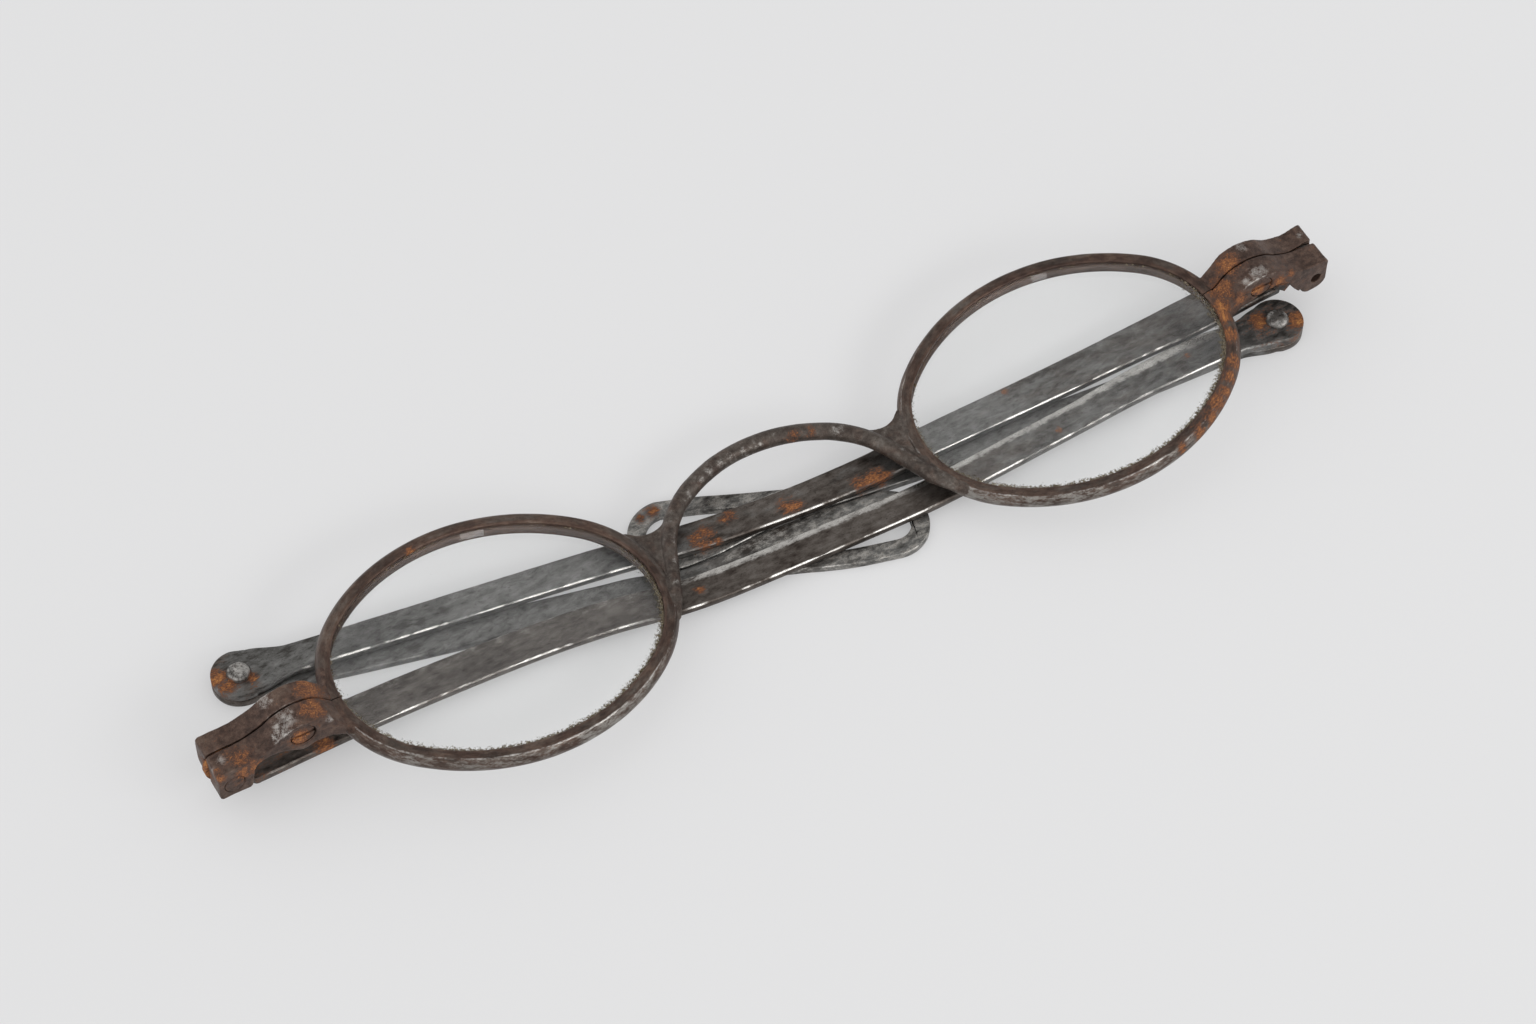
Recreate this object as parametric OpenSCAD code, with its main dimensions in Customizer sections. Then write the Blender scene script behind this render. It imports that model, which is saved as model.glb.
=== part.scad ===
// Turn-pin spectacles, folded, front uppermost, resting on their two tips.
// X runs along the line of the lens centres, +Y is the brow side, +Z is up.
// The origin lies under the middle of the front, on the table.

/* [Eye wires] */
// Distance between the lens centres
lens_centres = 60; // [58:0.5:64]
// Outer width of one eye wire
eye_w = 33.7; // [32:0.1:35]
// Outer height of one eye wire
eye_h = 26.6; // [25.5:0.1:28]
// Angle from the long axis at which the oval's end arcs pass into its flat arcs
meet_angle = 49.2; // [46:0.1:52]
// Width of the wire, seen from the front
rim_w = 1.4; // [1.2:0.05:1.6]
// Depth of the wire, front to back
rim_d = 1.9; // [1.7:0.05:2.1]
// How far each eye wire's outer end is tipped up
rim_tilt = 4.6; // [3:0.1:5]
// Height of the lens centres above the table
front_z = 4.3; // [4.2:0.05:5]
// Depth of the groove that holds the lens
groove_d = 0.45; // [0.35:0.05:0.5]
// Width of the groove at its mouth
groove_w = 1.1; // [0.9:0.05:1.3]

/* [Lenses] */
// Thickness of a lens
lens_t = 1.3; // [1.1:0.05:1.5]
// Room left round a lens in its groove
lens_gap = 0.05; // [0.03:0.01:0.08]

/* [Bridge] */
// Diameter of the bridge wire
bridge_d = 1.7; // [1.5:0.05:1.9]
// Height of the bridge's crown above the line of the lens centres
bridge_rise = 8.35; // [7:0.05:9]
// How far the bridge wire lies below the lens centres
bridge_drop = 0.9; // [0.7:0.05:1.1]
// Room between each leg's top and the middle of the eye wire beside it
leg_room = 1.44; // [1.2:0.02:1.6]
// Radius of the bridge's shoulders
shoulder_r = 10.3; // [9.5:0.1:11]
// Thickness of the web between bridge and eye wire
web_t = 1.0; // [0.8:0.05:1.2]

/* [Lugs] */
// From the left eye wire's outer edge to the hinge pin
left_reach = 10.15; // [9.6:0.05:11]
// From the right eye wire's outer edge to the hinge pin
right_reach = 9.75; // [9.4:0.05:11]
// How far the left lug goes on past its hinge pin
left_tail = 1.5; // [1.4:0.05:1.6]
// How far the right lug goes on past its hinge pin
right_tail = 1.2; // [1.1:0.05:1.5]
// Height of the hinge pins above the lens centres
hinge_rise = 0.35; // [0.1:0.05:0.6]
// From a hinge pin to the underside of its lug
knuckle_r = 1.55; // [1.5:0.05:1.75]
// Place of the joint between the left lug's halves, towards the brow
left_split = 0.1; // [0:0.05:0.3]
// Place of the joint between the right lug's halves, towards the brow
right_split = 0.9; // [0.85:0.05:1.0]
// Width of that joint, which also opens the eye wire
slit = 0.1; // [0.06:0.01:0.15]
// Thickness of the chin half of a lug
chin_half_t = 2.55; // [2.3:0.05:2.7]
// Thickness of the brow half of a lug
brow_half_t = 2.15; // [1.9:0.05:2.3]
// How far the bent brow half of the right lug stands off at its end
splay = 0.4; // [0.2:0.05:0.6]

/* [Screws and pins] */
// Diameter of a closing screw's head
screw_head_d = 2.3; // [2.1:0.05:2.5]
// Diameter of a closing screw's shank
screw_d = 1.3; // [1.1:0.05:1.4]
// Diameter of a hinge pin
hinge_pin_d = 1.0; // [0.9:0.05:1.2]
// Diameter of the left hinge pin's flush head
hinge_head_d = 1.9; // [1.6:0.05:2.1]
// Diameter of a turn pin
turn_pin_d = 1.2; // [1.0:0.05:1.3]
// Diameter of a turn pin's domed head
turn_head_d = 2.3; // [2.1:0.05:2.5]
// Height of that dome
turn_head_h = 0.55; // [0.4:0.05:0.6]
// Radial room of a pin in what turns on it
run_gap = 0.04; // [0.02:0.01:0.06]
// Radial room of a pin in what holds it
seat_gap = 0.01; // [0.01:0.005:0.02]

/* [Temples] */
// Length of the left temple from its hinge pin to its turn pin
left_len = 109.2; // [106:0.1:110]
// Length of the right temple from its hinge pin to its turn pin
right_len = 107.9; // [105:0.1:109]
// Thickness of the temple strip
strip_t = 0.8; // [0.7:0.05:0.9]
// Width of the strip at its hinge end
strip_w_root = 3.9; // [3.6:0.05:4.1]
// Width of the strip along its outer half
strip_w_neck = 3.05; // [2.8:0.05:3.2]
// Radius of the round eye at the turn pin
eye_r = 2.55; // [2.4:0.05:2.6]
// How far the strip climbs towards its hinge
root_rise = 0.7; // [0.5:0.05:0.8]
// Length over which it climbs
rise_len = 45; // [38:1:50]
// Thickness of the tongue that enters the lug
tongue_t = 0.75; // [0.65:0.05:0.8]
// Radius of the tongue round the hinge pin
tongue_r = 1.8; // [1.7:0.05:1.85]
// How far the folded left temple leans towards the chin
left_lean = 1.34; // [1.3:0.01:1.6]
// How far the folded right temple leans towards the brow
right_lean = 3.91; // [3.7:0.01:4.2]
// Middle of the right temple's root, towards the brow
right_root_y = 2.5; // [2.48:0.01:2.55]

/* [Tips] */
// Length of the left tip from its turn pin to the centre of its loop's round end
left_tip_len = 63; // [60:0.1:64]
// Length of the right tip from its turn pin to the centre of its loop's round end
right_tip_len = 61; // [59:0.1:63]
// Thickness of the tip
tip_t = 0.8; // [0.7:0.05:0.9]
// Width of the tip along its middle
tip_w = 2.9; // [2.6:0.05:3.1]
// Radius of the loop's round end
loop_r = 3.65; // [3.3:0.05:3.9]
// Width of the metal round the loop
loop_band = 1.7; // [1.5:0.05:1.8]
// Length over which the tip widens into its loop
loop_len = 12.5; // [11:0.1:14]
// How far the tip bows towards the chin
tip_bow = 1.4; // [1:0.1:1.8]
// Gap between the temple and the tip under it
stack_gap = 0.06; // [0.04:0.01:0.1]
// Angle between the folded left tip and its temple
left_tip_turn = 4.8; // [4.5:0.1:5.2]
// Angle between the folded right tip and its temple
right_tip_turn = 9.5; // [9.1:0.1:9.8]

/* [Hidden] */
$fn = 48;

LEFT = -1;
RIGHT = 1;
patina = [0.29, 0.25, 0.22];
grey_steel = [0.45, 0.45, 0.44];
brown_steel = [0.36, 0.33, 0.31];
worn_steel = [0.55, 0.54, 0.52];
clear_glass = [0.86, 0.90, 0.90, 0.35];

// The four-centre oval: two end arcs and two flat arcs, tangent where they meet
end_x = (eye_w - eye_h) / 2 / (1 + tan(meet_angle) - 1 / cos(meet_angle));
flat_y = end_x * tan(meet_angle);
end_r = eye_w / 2 - end_x;
flat_r = eye_h / 2 + flat_y;
core_lap = 1;
thin = 0.02;
join = 0.05;

rim_out_x = lens_centres / 2 + eye_w / 2;
left_hinge_x = rim_out_x + left_reach;
right_hinge_x = rim_out_x + right_reach;
hinge_z = front_z + hinge_rise;
braze_gap = 0.02;

// The closing screw's place, measured out from the eye wire's edge and up from the lens centres
screw_u = 3.3;
screw_v = 2.8;
screw_x = rim_out_x + screw_u;
screw_z = front_z + screw_v;
screw_head_t = 0.55;
screw_sink = 0.15;
screw_slot = 0.3;

// The left hinge pin's head, and how far the right pin stops short of the chin face
pin_head_t = 0.5;
pin_short = 0.6;

// The tongue's place and its room in the lug
slot_gap = 0.03;
slot_r = tongue_r + 0.12;
left_tongue_y = left_split;
right_tongue_y = right_root_y - strip_w_root / 2 + tongue_t / 2;

// The bridge: half angle of its crown, its legs, and how its stretches meet
crown_half = 28;
leg_heading = 68;
leg_x = lens_centres / 2 - eye_w / 2 - leg_room;
crown_r = shoulder_r + (leg_x - shoulder_r * sin(leg_heading)) / sin(crown_half);
leg_len = 4.7;
leg_taper = 2.6;
foot_d = 0.4;
thin_step = 0.1;

// Heights of the strips, and where they flare into the round eyes at the turn pins
strip_z = tip_t + stack_gap;
strip_top = strip_z + strip_t;
root_start = 2.0;
left_root_y = left_split + 0.3;
flare_len = 4;
flare_start = 1.0;
inside = 0.06;
eye_half_w = sqrt(eye_r * eye_r - flare_start * flare_start) - inside;
neck_at = 0.55;

// The cone at the turn pin's lower end
tail_cone_h = 0.35;
tail_cone_w = 0.35;
tail_sink = 0.02;

// Sideways bow of each temple, as [share of its length, distance towards the brow]
left_bow = [[0, 0], [0.13, 0.55], [0.26, 0.34], [0.34, -0.38], [0.39, -1.3], [0.45, -1.95],
    [0.59, -2.2], [0.66, -2.02], [0.78, -1.0], [0.87, -0.25], [1, 0]];
right_bow = [[0, 0], [0.05, -0.35], [0.12, -1.1], [0.23, -2.2], [0.37, -3.3], [0.45, -4.05],
    [0.52, -4.2], [0.6, -3.85], [0.68, -2.85], [0.8, -1.8], [0.9, -0.95], [1, 0]];

// Points on a smooth curve through p, with n steps between neighbours
function curve_at(a, b, c, d, t) = 0.5 * (2 * b + (c - a) * t
    + (2 * a - 5 * b + 4 * c - d) * t * t + (3 * b - a - 3 * c + d) * t * t * t);
function smooth(p, n = 4) = concat([for (i = [0:len(p) - 2]) for (k = [0:n - 1])
    curve_at(p[max(i - 1, 0)], p[i], p[i + 1], p[min(i + 2, len(p) - 1)], k / n)], [p[len(p) - 1]]);
function arc(cx, cy, r, from, to, n = 8) =
    [for (k = [0:n]) let (a = from + (to - from) * k / n) [cx + r * cos(a), cy + r * sin(a)]];

// Turns a list of [along, sideways] pairs round the start of a line that heads at angle
function placed(p, start, heading) = [for (q = p)
    [start[0] + q[0] * cos(heading) - q[1] * sin(heading),
     start[1] + q[0] * sin(heading) + q[1] * cos(heading)]];

// Outline of a band: p is its middle line and w its half width at each point
function side_step(p, i) = let (a = p[max(i - 1, 0)], b = p[min(i + 1, len(p) - 1)], d = b - a)
    [-d[1], d[0]] / norm(d);
function band(p, w) = concat([for (i = [0:len(p) - 1]) p[i] + side_step(p, i) * w[i]],
    [for (i = [len(p) - 1:-1:0]) p[i] - side_step(p, i) * w[i]]);

// Where the temples and tips lie when folded
left_hinge = [-left_hinge_x, left_root_y];
right_hinge = [right_hinge_x, right_root_y];
left_heading = -left_lean;
right_heading = 180 - right_lean;
left_pin = left_hinge + left_len * [cos(left_heading), sin(left_heading)];
right_pin = right_hinge + right_len * [cos(right_heading), sin(right_heading)];
left_tip_heading = left_heading + 180 - left_tip_turn;
right_tip_heading = right_heading + 180 - right_tip_turn;

// Eye wires: sections are drawn for an arc whose outline has radius r. The flat arcs are a
// hair thinner, by less, and start just inside the end arcs
module wire_section(r, less) {
    bulge = 0.5;
    worn = 0.12;
    h = rim_d / 2 - less;
    inner = r - rim_w + less;
    outer = [for (a = [-90:22.5:90]) [r - less - bulge * (1 - cos(a)), h * sin(a)]];
    polygon(concat(outer, [[inner, h - worn], [inner, groove_w / 2 + less], [inner + groove_d, 0],
        [inner, -groove_w / 2 - less], [inner, worn - h]]));
}

module room_section(r, less, core) {
    bulge = 0.5;
    grow = braze_gap - less;
    h = rim_d / 2 + grow;
    outer = [for (a = [-90:22.5:90]) [r + grow - bulge * (1 - cos(a)), h * sin(a)]];
    polygon(concat(outer, [[core, h], [core, -h]]));
}

module lens_section(r, less, core) {
    t = lens_t / 2;
    lip = groove_w / 2 - lens_gap - less;
    edge = r - rim_w + groove_d - lens_gap - less;
    polygon([[core, -t], [edge - groove_d, -t], [edge - groove_d, -lip], [edge, 0],
        [edge - groove_d, lip], [edge - groove_d, t], [core, t]]);
}

module section(kind, r, less, core) {
    if (kind == "wire") wire_section(r, less);
    if (kind == "room") room_section(r, less, core);
    if (kind == "lens") lens_section(r, less, core);
}

module oval(kind) {
    lap = join * 180 / (PI * flat_r);
    for (s = [-1, 1]) {
        translate([s * end_x, 0, 0]) rotate([0, 0, s > 0 ? -meet_angle : 180 - meet_angle])
            rotate_extrude(angle = 2 * meet_angle, $fn = 96) section(kind, end_r, 0, 0);
        translate([0, -s * flat_y, 0])
            rotate([0, 0, (s > 0 ? meet_angle : 180 + meet_angle) - lap])
                rotate_extrude(angle = 180 - 2 * meet_angle + 2 * lap, $fn = 96)
                    section(kind, flat_r, thin, max(flat_y - core_lap, 0));
    }
}

module on_eye(side) {
    translate([side * lens_centres / 2, 0, front_z]) rotate([0, -side * rim_tilt, 0]) children();
}

module eye_wire(side) {
    color(patina) difference() {
        on_eye(side) oval("wire");
        translate([side * rim_out_x - 4, split(side) - slit / 2, 0]) cube([8, slit, 12]);
    }
}

module lens(side) {
    color(clear_glass) on_eye(side) oval("lens");
}

// Bridge: a crown arc, two shoulder arcs, and legs that run down beside the eye wires.
// Each stretch is a hair thinner than the one before it and starts just inside its end
module wire_arc(r, d, from, to) {
    rotate([0, 0, from]) rotate_extrude(angle = to - from, $fn = 96)
        translate([r, 0]) circle(d = d, $fn = 32);
}

module bridge_leg() {
    back = crown_r - shoulder_r;
    shoulder = [back * sin(crown_half), bridge_rise - crown_r + back * cos(crown_half)];
    leg = shoulder + shoulder_r * [sin(leg_heading), cos(leg_heading)];
    into = join * 180 / (PI * shoulder_r);
    leg_d = bridge_d - 2 * thin_step;
    translate(shoulder)
        wire_arc(shoulder_r, bridge_d - thin_step, 90 - leg_heading, 90 - crown_half + into);
    translate([leg[0], leg[1], 0]) rotate([0, 90, -leg_heading]) translate([0, 0, -join]) {
        cylinder(d = leg_d, h = leg_len + join);
        translate([0, 0, leg_len]) cylinder(d1 = leg_d - thin_step, d2 = foot_d, h = leg_taper);
    }
    difference() {
        translate([0, 0, -web_t / 2]) linear_extrude(web_t) polygon([leg + [-1.6, 2.9],
            leg + [-0.8, 3.8], leg + [3.3, 3.8], leg + [2.3, -0.4], leg + [2.1, -3.2],
            leg + [1.2, -3.4], leg]);
        translate([leg[0] + 0.8, leg[1] + 5.13, -web_t]) cylinder(r = 2.3, h = 2 * web_t);
    }
}

module bridge() {
    color(patina) difference() {
        translate([0, 0, front_z - bridge_drop]) {
            translate([0, bridge_rise - crown_r, 0])
                wire_arc(crown_r, bridge_d, 90 - crown_half, 90 + crown_half);
            bridge_leg();
            mirror([1, 0, 0]) bridge_leg();
        }
        for (side = [LEFT, RIGHT]) on_eye(side) oval("room");
    }
}

// Lugs and their screws and pins. Each is drawn as if on the right, then put on its side.
// Side view points run out from the eye wire's edge and up from the lens centres
rim_up = eye_w / 2 * sin(rim_tilt);
lug_top = [[-0.9, rim_up + 0.55], [-0.2, rim_up + 1.35], [0.8, 3.75], [2, 4.35], [3.6, 4.45],
    [5.1, 4.05], [6.4, 3.25], [8.1, 2.65], [9.6, 2.55]];
left_under = [[8.35, -0.3], [8.05, 1.05], [7.5, 1.7], [6.45, 1.95], [5.25, 1.7], [3.45, 0.75],
    [2.2, 1.1], [0.9, 1.1], [-0.9, rim_up - 0.75]];
right_under = [[7.9, -0.5], [7.35, 0.15], [6.85, 0.85], [6.2, 1.6], [5.2, 1.95], [3.2, 1.6],
    [1.4, 1.25], [0.5, 0.8], [-0.9, rim_up - 0.75]];
left_corner = 0.45;
right_corner = 1.1;
lug_room = 3 * chin_half_t;

function reach(side) = side < 0 ? left_reach : right_reach;
function tail(side) = side < 0 ? left_tail : right_tail;
function split(side) = side < 0 ? left_split : right_split;
function bend(side) = side < 0 ? 0 : splay;
function tongue_y(side) = side < 0 ? left_tongue_y : right_tongue_y;
function hinge_x(side) = rim_out_x + reach(side);
function turned(p) = [for (i = [len(p) - 1:-1:0]) p[i]];

function lug_side(side) = let (end = reach(side) + tail(side), low = hinge_rise - knuckle_r,
    r = side < 0 ? left_corner : right_corner)
    concat(smooth(lug_top), [[end - 0.25, 2.5], [end, 2.25]], arc(end - r, low + r, r, 0, -90, 5),
        arc(reach(side) - 1.7 + r, low + r, r, -90, -170, 5),
        smooth(side < 0 ? left_under : right_under));

function chin_edge(side) = smooth([for (p = [[-1.2, 0.6], [0.4, 0.15], [2, 0], [6, -0.05], [8, 0],
    [reach(side) + tail(side), 0]]) [p[0], split(side) - chin_half_t - p[1]]]);
function brow_edge(side) = let (y = split(side) + brow_half_t) smooth([[-1.2, y - 0.35],
    [0.4, y - 0.25], [2, y - 0.05], [7.4, y], [reach(side) + tail(side), y + bend(side)]]);
function joint_edge(side) = let (y = split(side) + slit / 2, end = reach(side) + tail(side))
    side < 0 ? [[-1.2, y], [end, y]] : smooth([[-1.2, y], [6.5, y], [8, y], [end, y + bend(side)]]);

module on_side(side) {
    if (side > 0) children();
    else mirror([1, 0, 0]) children();
}

module lug_blank(side, outline) {
    intersection() {
        translate([rim_out_x, lug_room, front_z]) rotate([90, 0, 0])
            linear_extrude(2 * lug_room) polygon(lug_side(side));
        translate([rim_out_x, 0, 0]) linear_extrude(4 * front_z) polygon(outline);
    }
}

module along_y(x, z, y1, y2, d) {
    translate([x, y1, z]) rotate([-90, 0, 0]) cylinder(d = d, h = y2 - y1);
}

// Room for the tongue: round the pin, and open below it for the temple's swing
module tongue_slot(side) {
    t = tongue_t + 2 * slot_gap;
    y = tongue_y(side);
    along_y(hinge_x(side), hinge_z, y - t / 2, y + t / 2, 2 * slot_r);
    translate([hinge_x(side) - 3.2, y - t / 2, 0]) cube([8, t, hinge_z]);
}

module lug_chin(side) {
    face = split(side) - chin_half_t;
    edge = split(side) - slit / 2;
    color(patina) on_side(side) difference() {
        lug_blank(side, concat(chin_edge(side), [[reach(side) + tail(side), edge], [-1.2, edge]]));
        on_eye(RIGHT) oval("room");
        tongue_slot(side);
        along_y(hinge_x(side), hinge_z, -lug_room, lug_room, hinge_pin_d + 2 * seat_gap);
        if (side < 0) along_y(hinge_x(side), hinge_z, -lug_room, face + pin_head_t + seat_gap,
            hinge_head_d + 2 * seat_gap);
        along_y(screw_x, screw_z, -lug_room, lug_room, screw_d + 2 * run_gap);
        along_y(screw_x, screw_z, -lug_room, face + screw_sink + screw_head_t, screw_head_d + 2 * run_gap);
    }
}

module lug_brow(side) {
    color(patina) on_side(side) difference() {
        lug_blank(side, concat(joint_edge(side), turned(brow_edge(side))));
        on_eye(RIGHT) oval("room");
        tongue_slot(side);
        along_y(hinge_x(side), hinge_z, -lug_room, lug_room, hinge_pin_d + 2 * seat_gap);
        along_y(screw_x, screw_z, -lug_room, lug_room, screw_d + 2 * seat_gap);
    }
}

module closing_screw(side) {
    head_y = split(side) - chin_half_t + screw_sink;
    color(brown_steel) on_side(side) difference() {
        union() {
            along_y(screw_x, screw_z, head_y, head_y + screw_head_t - seat_gap, screw_head_d);
            along_y(screw_x, screw_z, head_y + 0.1, split(side) + 0.85 * brow_half_t, screw_d);
        }
        translate([screw_x - 2, head_y - 1, screw_z - screw_slot / 2])
            cube([4, 1 + screw_head_t / 2, screw_slot]);
    }
}

module hinge_pin(side) {
    face = split(side) - chin_half_t;
    color(brown_steel) on_side(side) {
        along_y(hinge_x(side), hinge_z, side < 0 ? face + 0.1 : face + pin_short,
            split(side) + brow_half_t + 0.5 * bend(side) - 0.1, hinge_pin_d);
        if (side < 0) along_y(hinge_x(side), hinge_z, face, face + pin_head_t, hinge_head_d);
    }
}

// Temples: the strip's plan cut by its side view, with the tongue at the hinge
function bowed(bow, length) = smooth([for (p = bow) [p[0] * length, p[1]]], 4);
function flare(d) = (1 + cos(180 * min(max(d - flare_start, 0), flare_len) / flare_len)) / 2;
function temple_half_w(s, length) = let (share = min(s / length / neck_at, 1),
    plain = strip_w_root + (strip_w_neck - strip_w_root) * share)
    plain / 2 + (eye_half_w - plain / 2) * flare(length - s);
function end_slope(bow, length) = let (p = bow[len(bow) - 2]) p[1] / (length * (1 - p[0]));
function temple_line(bow, length) = concat(
    [for (p = bowed(bow, length)) if (p[0] < length - flare_len - 4) p],
    [for (k = [0:6]) let (d = flare_start + flare_len * (1 - k / 6))
        [length - d, end_slope(bow, length) * d]]);

// Side view of the strip, from the hinge at hx to past the turn pin
module strip_side(hx, length) {
    foot = [for (k = [0:6]) let (d = root_start + (rise_len - root_start) * k / 6)
        [hx - d, root_rise * pow(1 - d / rise_len, 2)]];
    under = concat([for (p = foot) p + [0, strip_z]], [[hx - length, strip_z]]);
    over = concat([for (p = foot) p + [0, strip_top]], [[hx - length, strip_top]]);
    translate([0, eye_h, 0]) rotate([90, 0, 0]) linear_extrude(2 * eye_h)
        polygon(concat(under, turned(over)));
}

// The tongue: a disc round the pin and the web that joins it to the strip
module tongue(side) {
    hx = hinge_x(side);
    y = tongue_y(side) + tongue_t / 2;
    root_z = strip_z + root_rise * pow(1 - root_start / rise_len, 2);
    low_z = strip_z + root_rise * pow(1 - 4.5 / rise_len, 2);
    translate([0, y, 0]) rotate([90, 0, 0]) linear_extrude(tongue_t)
        polygon([[hx - 4.5, low_z], [hx - root_start, root_z], [hx - 0.4, hinge_z - tongue_r + 0.1],
            [hx, hinge_z], [hx - tongue_r + 0.1, hinge_z], [hx - 2.6, low_z + strip_t],
            [hx - 4.5, low_z + strip_t]]);
    along_y(hx, hinge_z, y - tongue_t, y, 2 * tongue_r);
}

// Drawn with its hinge on the right
module temple(side, hinge, heading, bow, length, pin) {
    line = temple_line(bow, length);
    difference() {
        union() {
            intersection() {
                union() {
                    linear_extrude(6) polygon(band(placed(line, hinge, heading),
                        [for (p = line) temple_half_w(p[0], length)]));
                    translate(pin) cylinder(r = eye_r, h = 6);
                }
                strip_side(hinge[0], length + eye_r + 1);
            }
            tongue(side);
        }
        along_y(hinge_x(side), hinge_z, -lug_room, lug_room, hinge_pin_d + 2 * run_gap);
        translate(pin) cylinder(d = turn_pin_d + 2 * seat_gap, h = 6);
    }
}

function flipped(p) = [for (q = p) [q[0], -q[1]]];

module left_temple() {
    color(brown_steel) mirror([1, 0, 0]) temple(LEFT, [left_hinge_x, left_root_y], 180 + left_lean,
        flipped(left_bow), left_len, [-left_pin[0], left_pin[1]]);
}

module right_temple() {
    color(grey_steel) temple(RIGHT, right_hinge, right_heading, flipped(right_bow), right_len, right_pin);
}

// Turn pins: domed above, with a flush cone-shaped foot under the tip
module turn_pin(pin) {
    r = turn_head_d / 2;
    dome_r = (r * r + turn_head_h * turn_head_h) / (2 * turn_head_h);
    color(worn_steel) translate([pin[0], pin[1], 0]) {
        intersection() {
            translate([0, 0, strip_top + turn_head_h - dome_r]) sphere(r = dome_r, $fn = 64);
            translate([0, 0, strip_top]) cylinder(r = r + 0.5, h = turn_head_h + 1);
        }
        translate([0, 0, tail_sink]) cylinder(d1 = turn_pin_d + 2 * tail_cone_w, d2 = turn_pin_d,
            h = tail_cone_h);
        translate([0, 0, tail_cone_h]) cylinder(d = turn_pin_d, h = strip_top - tail_cone_h + 0.1);
    }
}

// Tips: a narrow strip that opens into a drop-shaped loop
function tip_half_w(s, length) = tip_w / 2 + (eye_half_w - tip_w / 2) * flare(s)
    + (loop_r - tip_w / 2) * (1 + cos(180 * min((length - s) / loop_len, 1))) / 2;
function tip_line(from, length, bend, n) = [for (k = [0:n]) let (s = from + (length - from) * k / n)
    [s, bend * 4 * tip_bow * s / length * (1 - s / length)]];

// bend is 1 where the tip bows to the left of its own direction, and -1 where to the right.
// Each outline ends just inside the circle that closes it
module tip(pin, heading, length, bend) {
    flare_end = flare_start + flare_len;
    line = tip_line(flare_end, length, bend, 20);
    body = concat([for (p = tip_line(flare_start, length, bend, 60)) if (p[0] < flare_end) p], line);
    hole = [for (p = tip_line(length - loop_len, length, bend, 12))
        if (tip_half_w(p[0], length) > loop_band + 0.2) p];
    loop_at = placed([[length, 0]], pin, heading)[0];
    cone_d = turn_pin_d + 2 * (tail_cone_w + run_gap);
    difference() {
        union() {
            linear_extrude(tip_t) polygon(band(placed(body, pin, heading),
                [for (p = body) tip_half_w(p[0], length) - (p[0] < length ? 0 : inside)]));
            translate(pin) cylinder(r = eye_r, h = tip_t);
            translate(loop_at) cylinder(r = loop_r, h = tip_t);
        }
        translate([0, 0, -tip_t]) {
            linear_extrude(3 * tip_t) polygon(band(placed(hole, pin, heading),
                [for (p = hole) tip_half_w(p[0], length) - loop_band - (p[0] < length ? 0 : inside)]));
            translate(loop_at) cylinder(r = loop_r - loop_band, h = 3 * tip_t);
            translate(pin) cylinder(d = turn_pin_d + 2 * run_gap, h = 3 * tip_t);
            translate(pin) cylinder(d = cone_d, h = tip_t + tail_sink);
        }
        translate([pin[0], pin[1], tail_sink])
            cylinder(d1 = cone_d, d2 = turn_pin_d + 2 * run_gap, h = tail_cone_h + run_gap);
    }
}

module left_tip() {
    color(brown_steel) tip(left_pin, left_tip_heading, left_tip_len, 1);
}

module right_tip() {
    color(grey_steel) tip(right_pin, right_tip_heading, right_tip_len, -1);
}

eye_wire(LEFT);  // left_eye_wire
eye_wire(RIGHT);  // right_eye_wire
bridge();
lug_brow(LEFT);  // left_lug_brow
lug_chin(LEFT);  // left_lug_chin
lug_brow(RIGHT);  // right_lug_brow
lug_chin(RIGHT);  // right_lug_chin
lens(LEFT);  // left_lens
lens(RIGHT);  // right_lens
closing_screw(LEFT);  // left_closing_screw
closing_screw(RIGHT);  // right_closing_screw
hinge_pin(LEFT);  // left_hinge_pin
hinge_pin(RIGHT);  // right_hinge_pin
left_temple();
right_temple();
turn_pin(left_pin);  // left_turn_pin
turn_pin(right_pin);  // right_turn_pin
left_tip();
right_tip();
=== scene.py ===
from math import asin, cos, degrees, pi, radians, sin, sqrt, tan
import bpy
import bmesh
import numpy as np
from numpy import concatenate as cat
from mathutils import Matrix


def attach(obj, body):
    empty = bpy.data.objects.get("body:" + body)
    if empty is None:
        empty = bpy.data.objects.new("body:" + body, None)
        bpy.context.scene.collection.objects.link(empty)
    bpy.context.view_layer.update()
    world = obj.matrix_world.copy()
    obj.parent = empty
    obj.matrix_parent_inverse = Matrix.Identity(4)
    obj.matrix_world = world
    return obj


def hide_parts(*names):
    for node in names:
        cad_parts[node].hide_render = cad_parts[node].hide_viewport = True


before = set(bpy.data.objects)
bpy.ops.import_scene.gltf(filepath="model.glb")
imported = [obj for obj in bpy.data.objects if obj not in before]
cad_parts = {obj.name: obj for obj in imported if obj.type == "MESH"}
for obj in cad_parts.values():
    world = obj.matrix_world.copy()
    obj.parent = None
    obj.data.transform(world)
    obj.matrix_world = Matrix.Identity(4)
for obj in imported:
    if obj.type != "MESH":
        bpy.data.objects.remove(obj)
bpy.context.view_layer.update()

scene = bpy.context.scene
put = scene.collection.objects.link
# CAD nodes are in metres. The pieces are drawn in millimetres, and piece() takes them back to metres
MM, TO_MM = 0.001, 1000.0
LEFT, RIGHT = -1, 1
SIDE_NAME = {LEFT: "left", RIGHT: "right"}

# Sizes of the CAD model in millimetres: the eye wires, the places of their splits, and the lens grooves
LENS_CENTRES, EYE_W, EYE_H, FRONT_Z = 60.0, 33.7, 26.6, 4.3
RIM_W, RIM_TILT_DEG, MEET = 1.4, 4.6, radians(49.2)
SPLIT, SLIT = {LEFT: 0.1, RIGHT: 0.9}, 0.1
GROOVE_D, LENS_GAP = 0.45, 0.05
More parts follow.
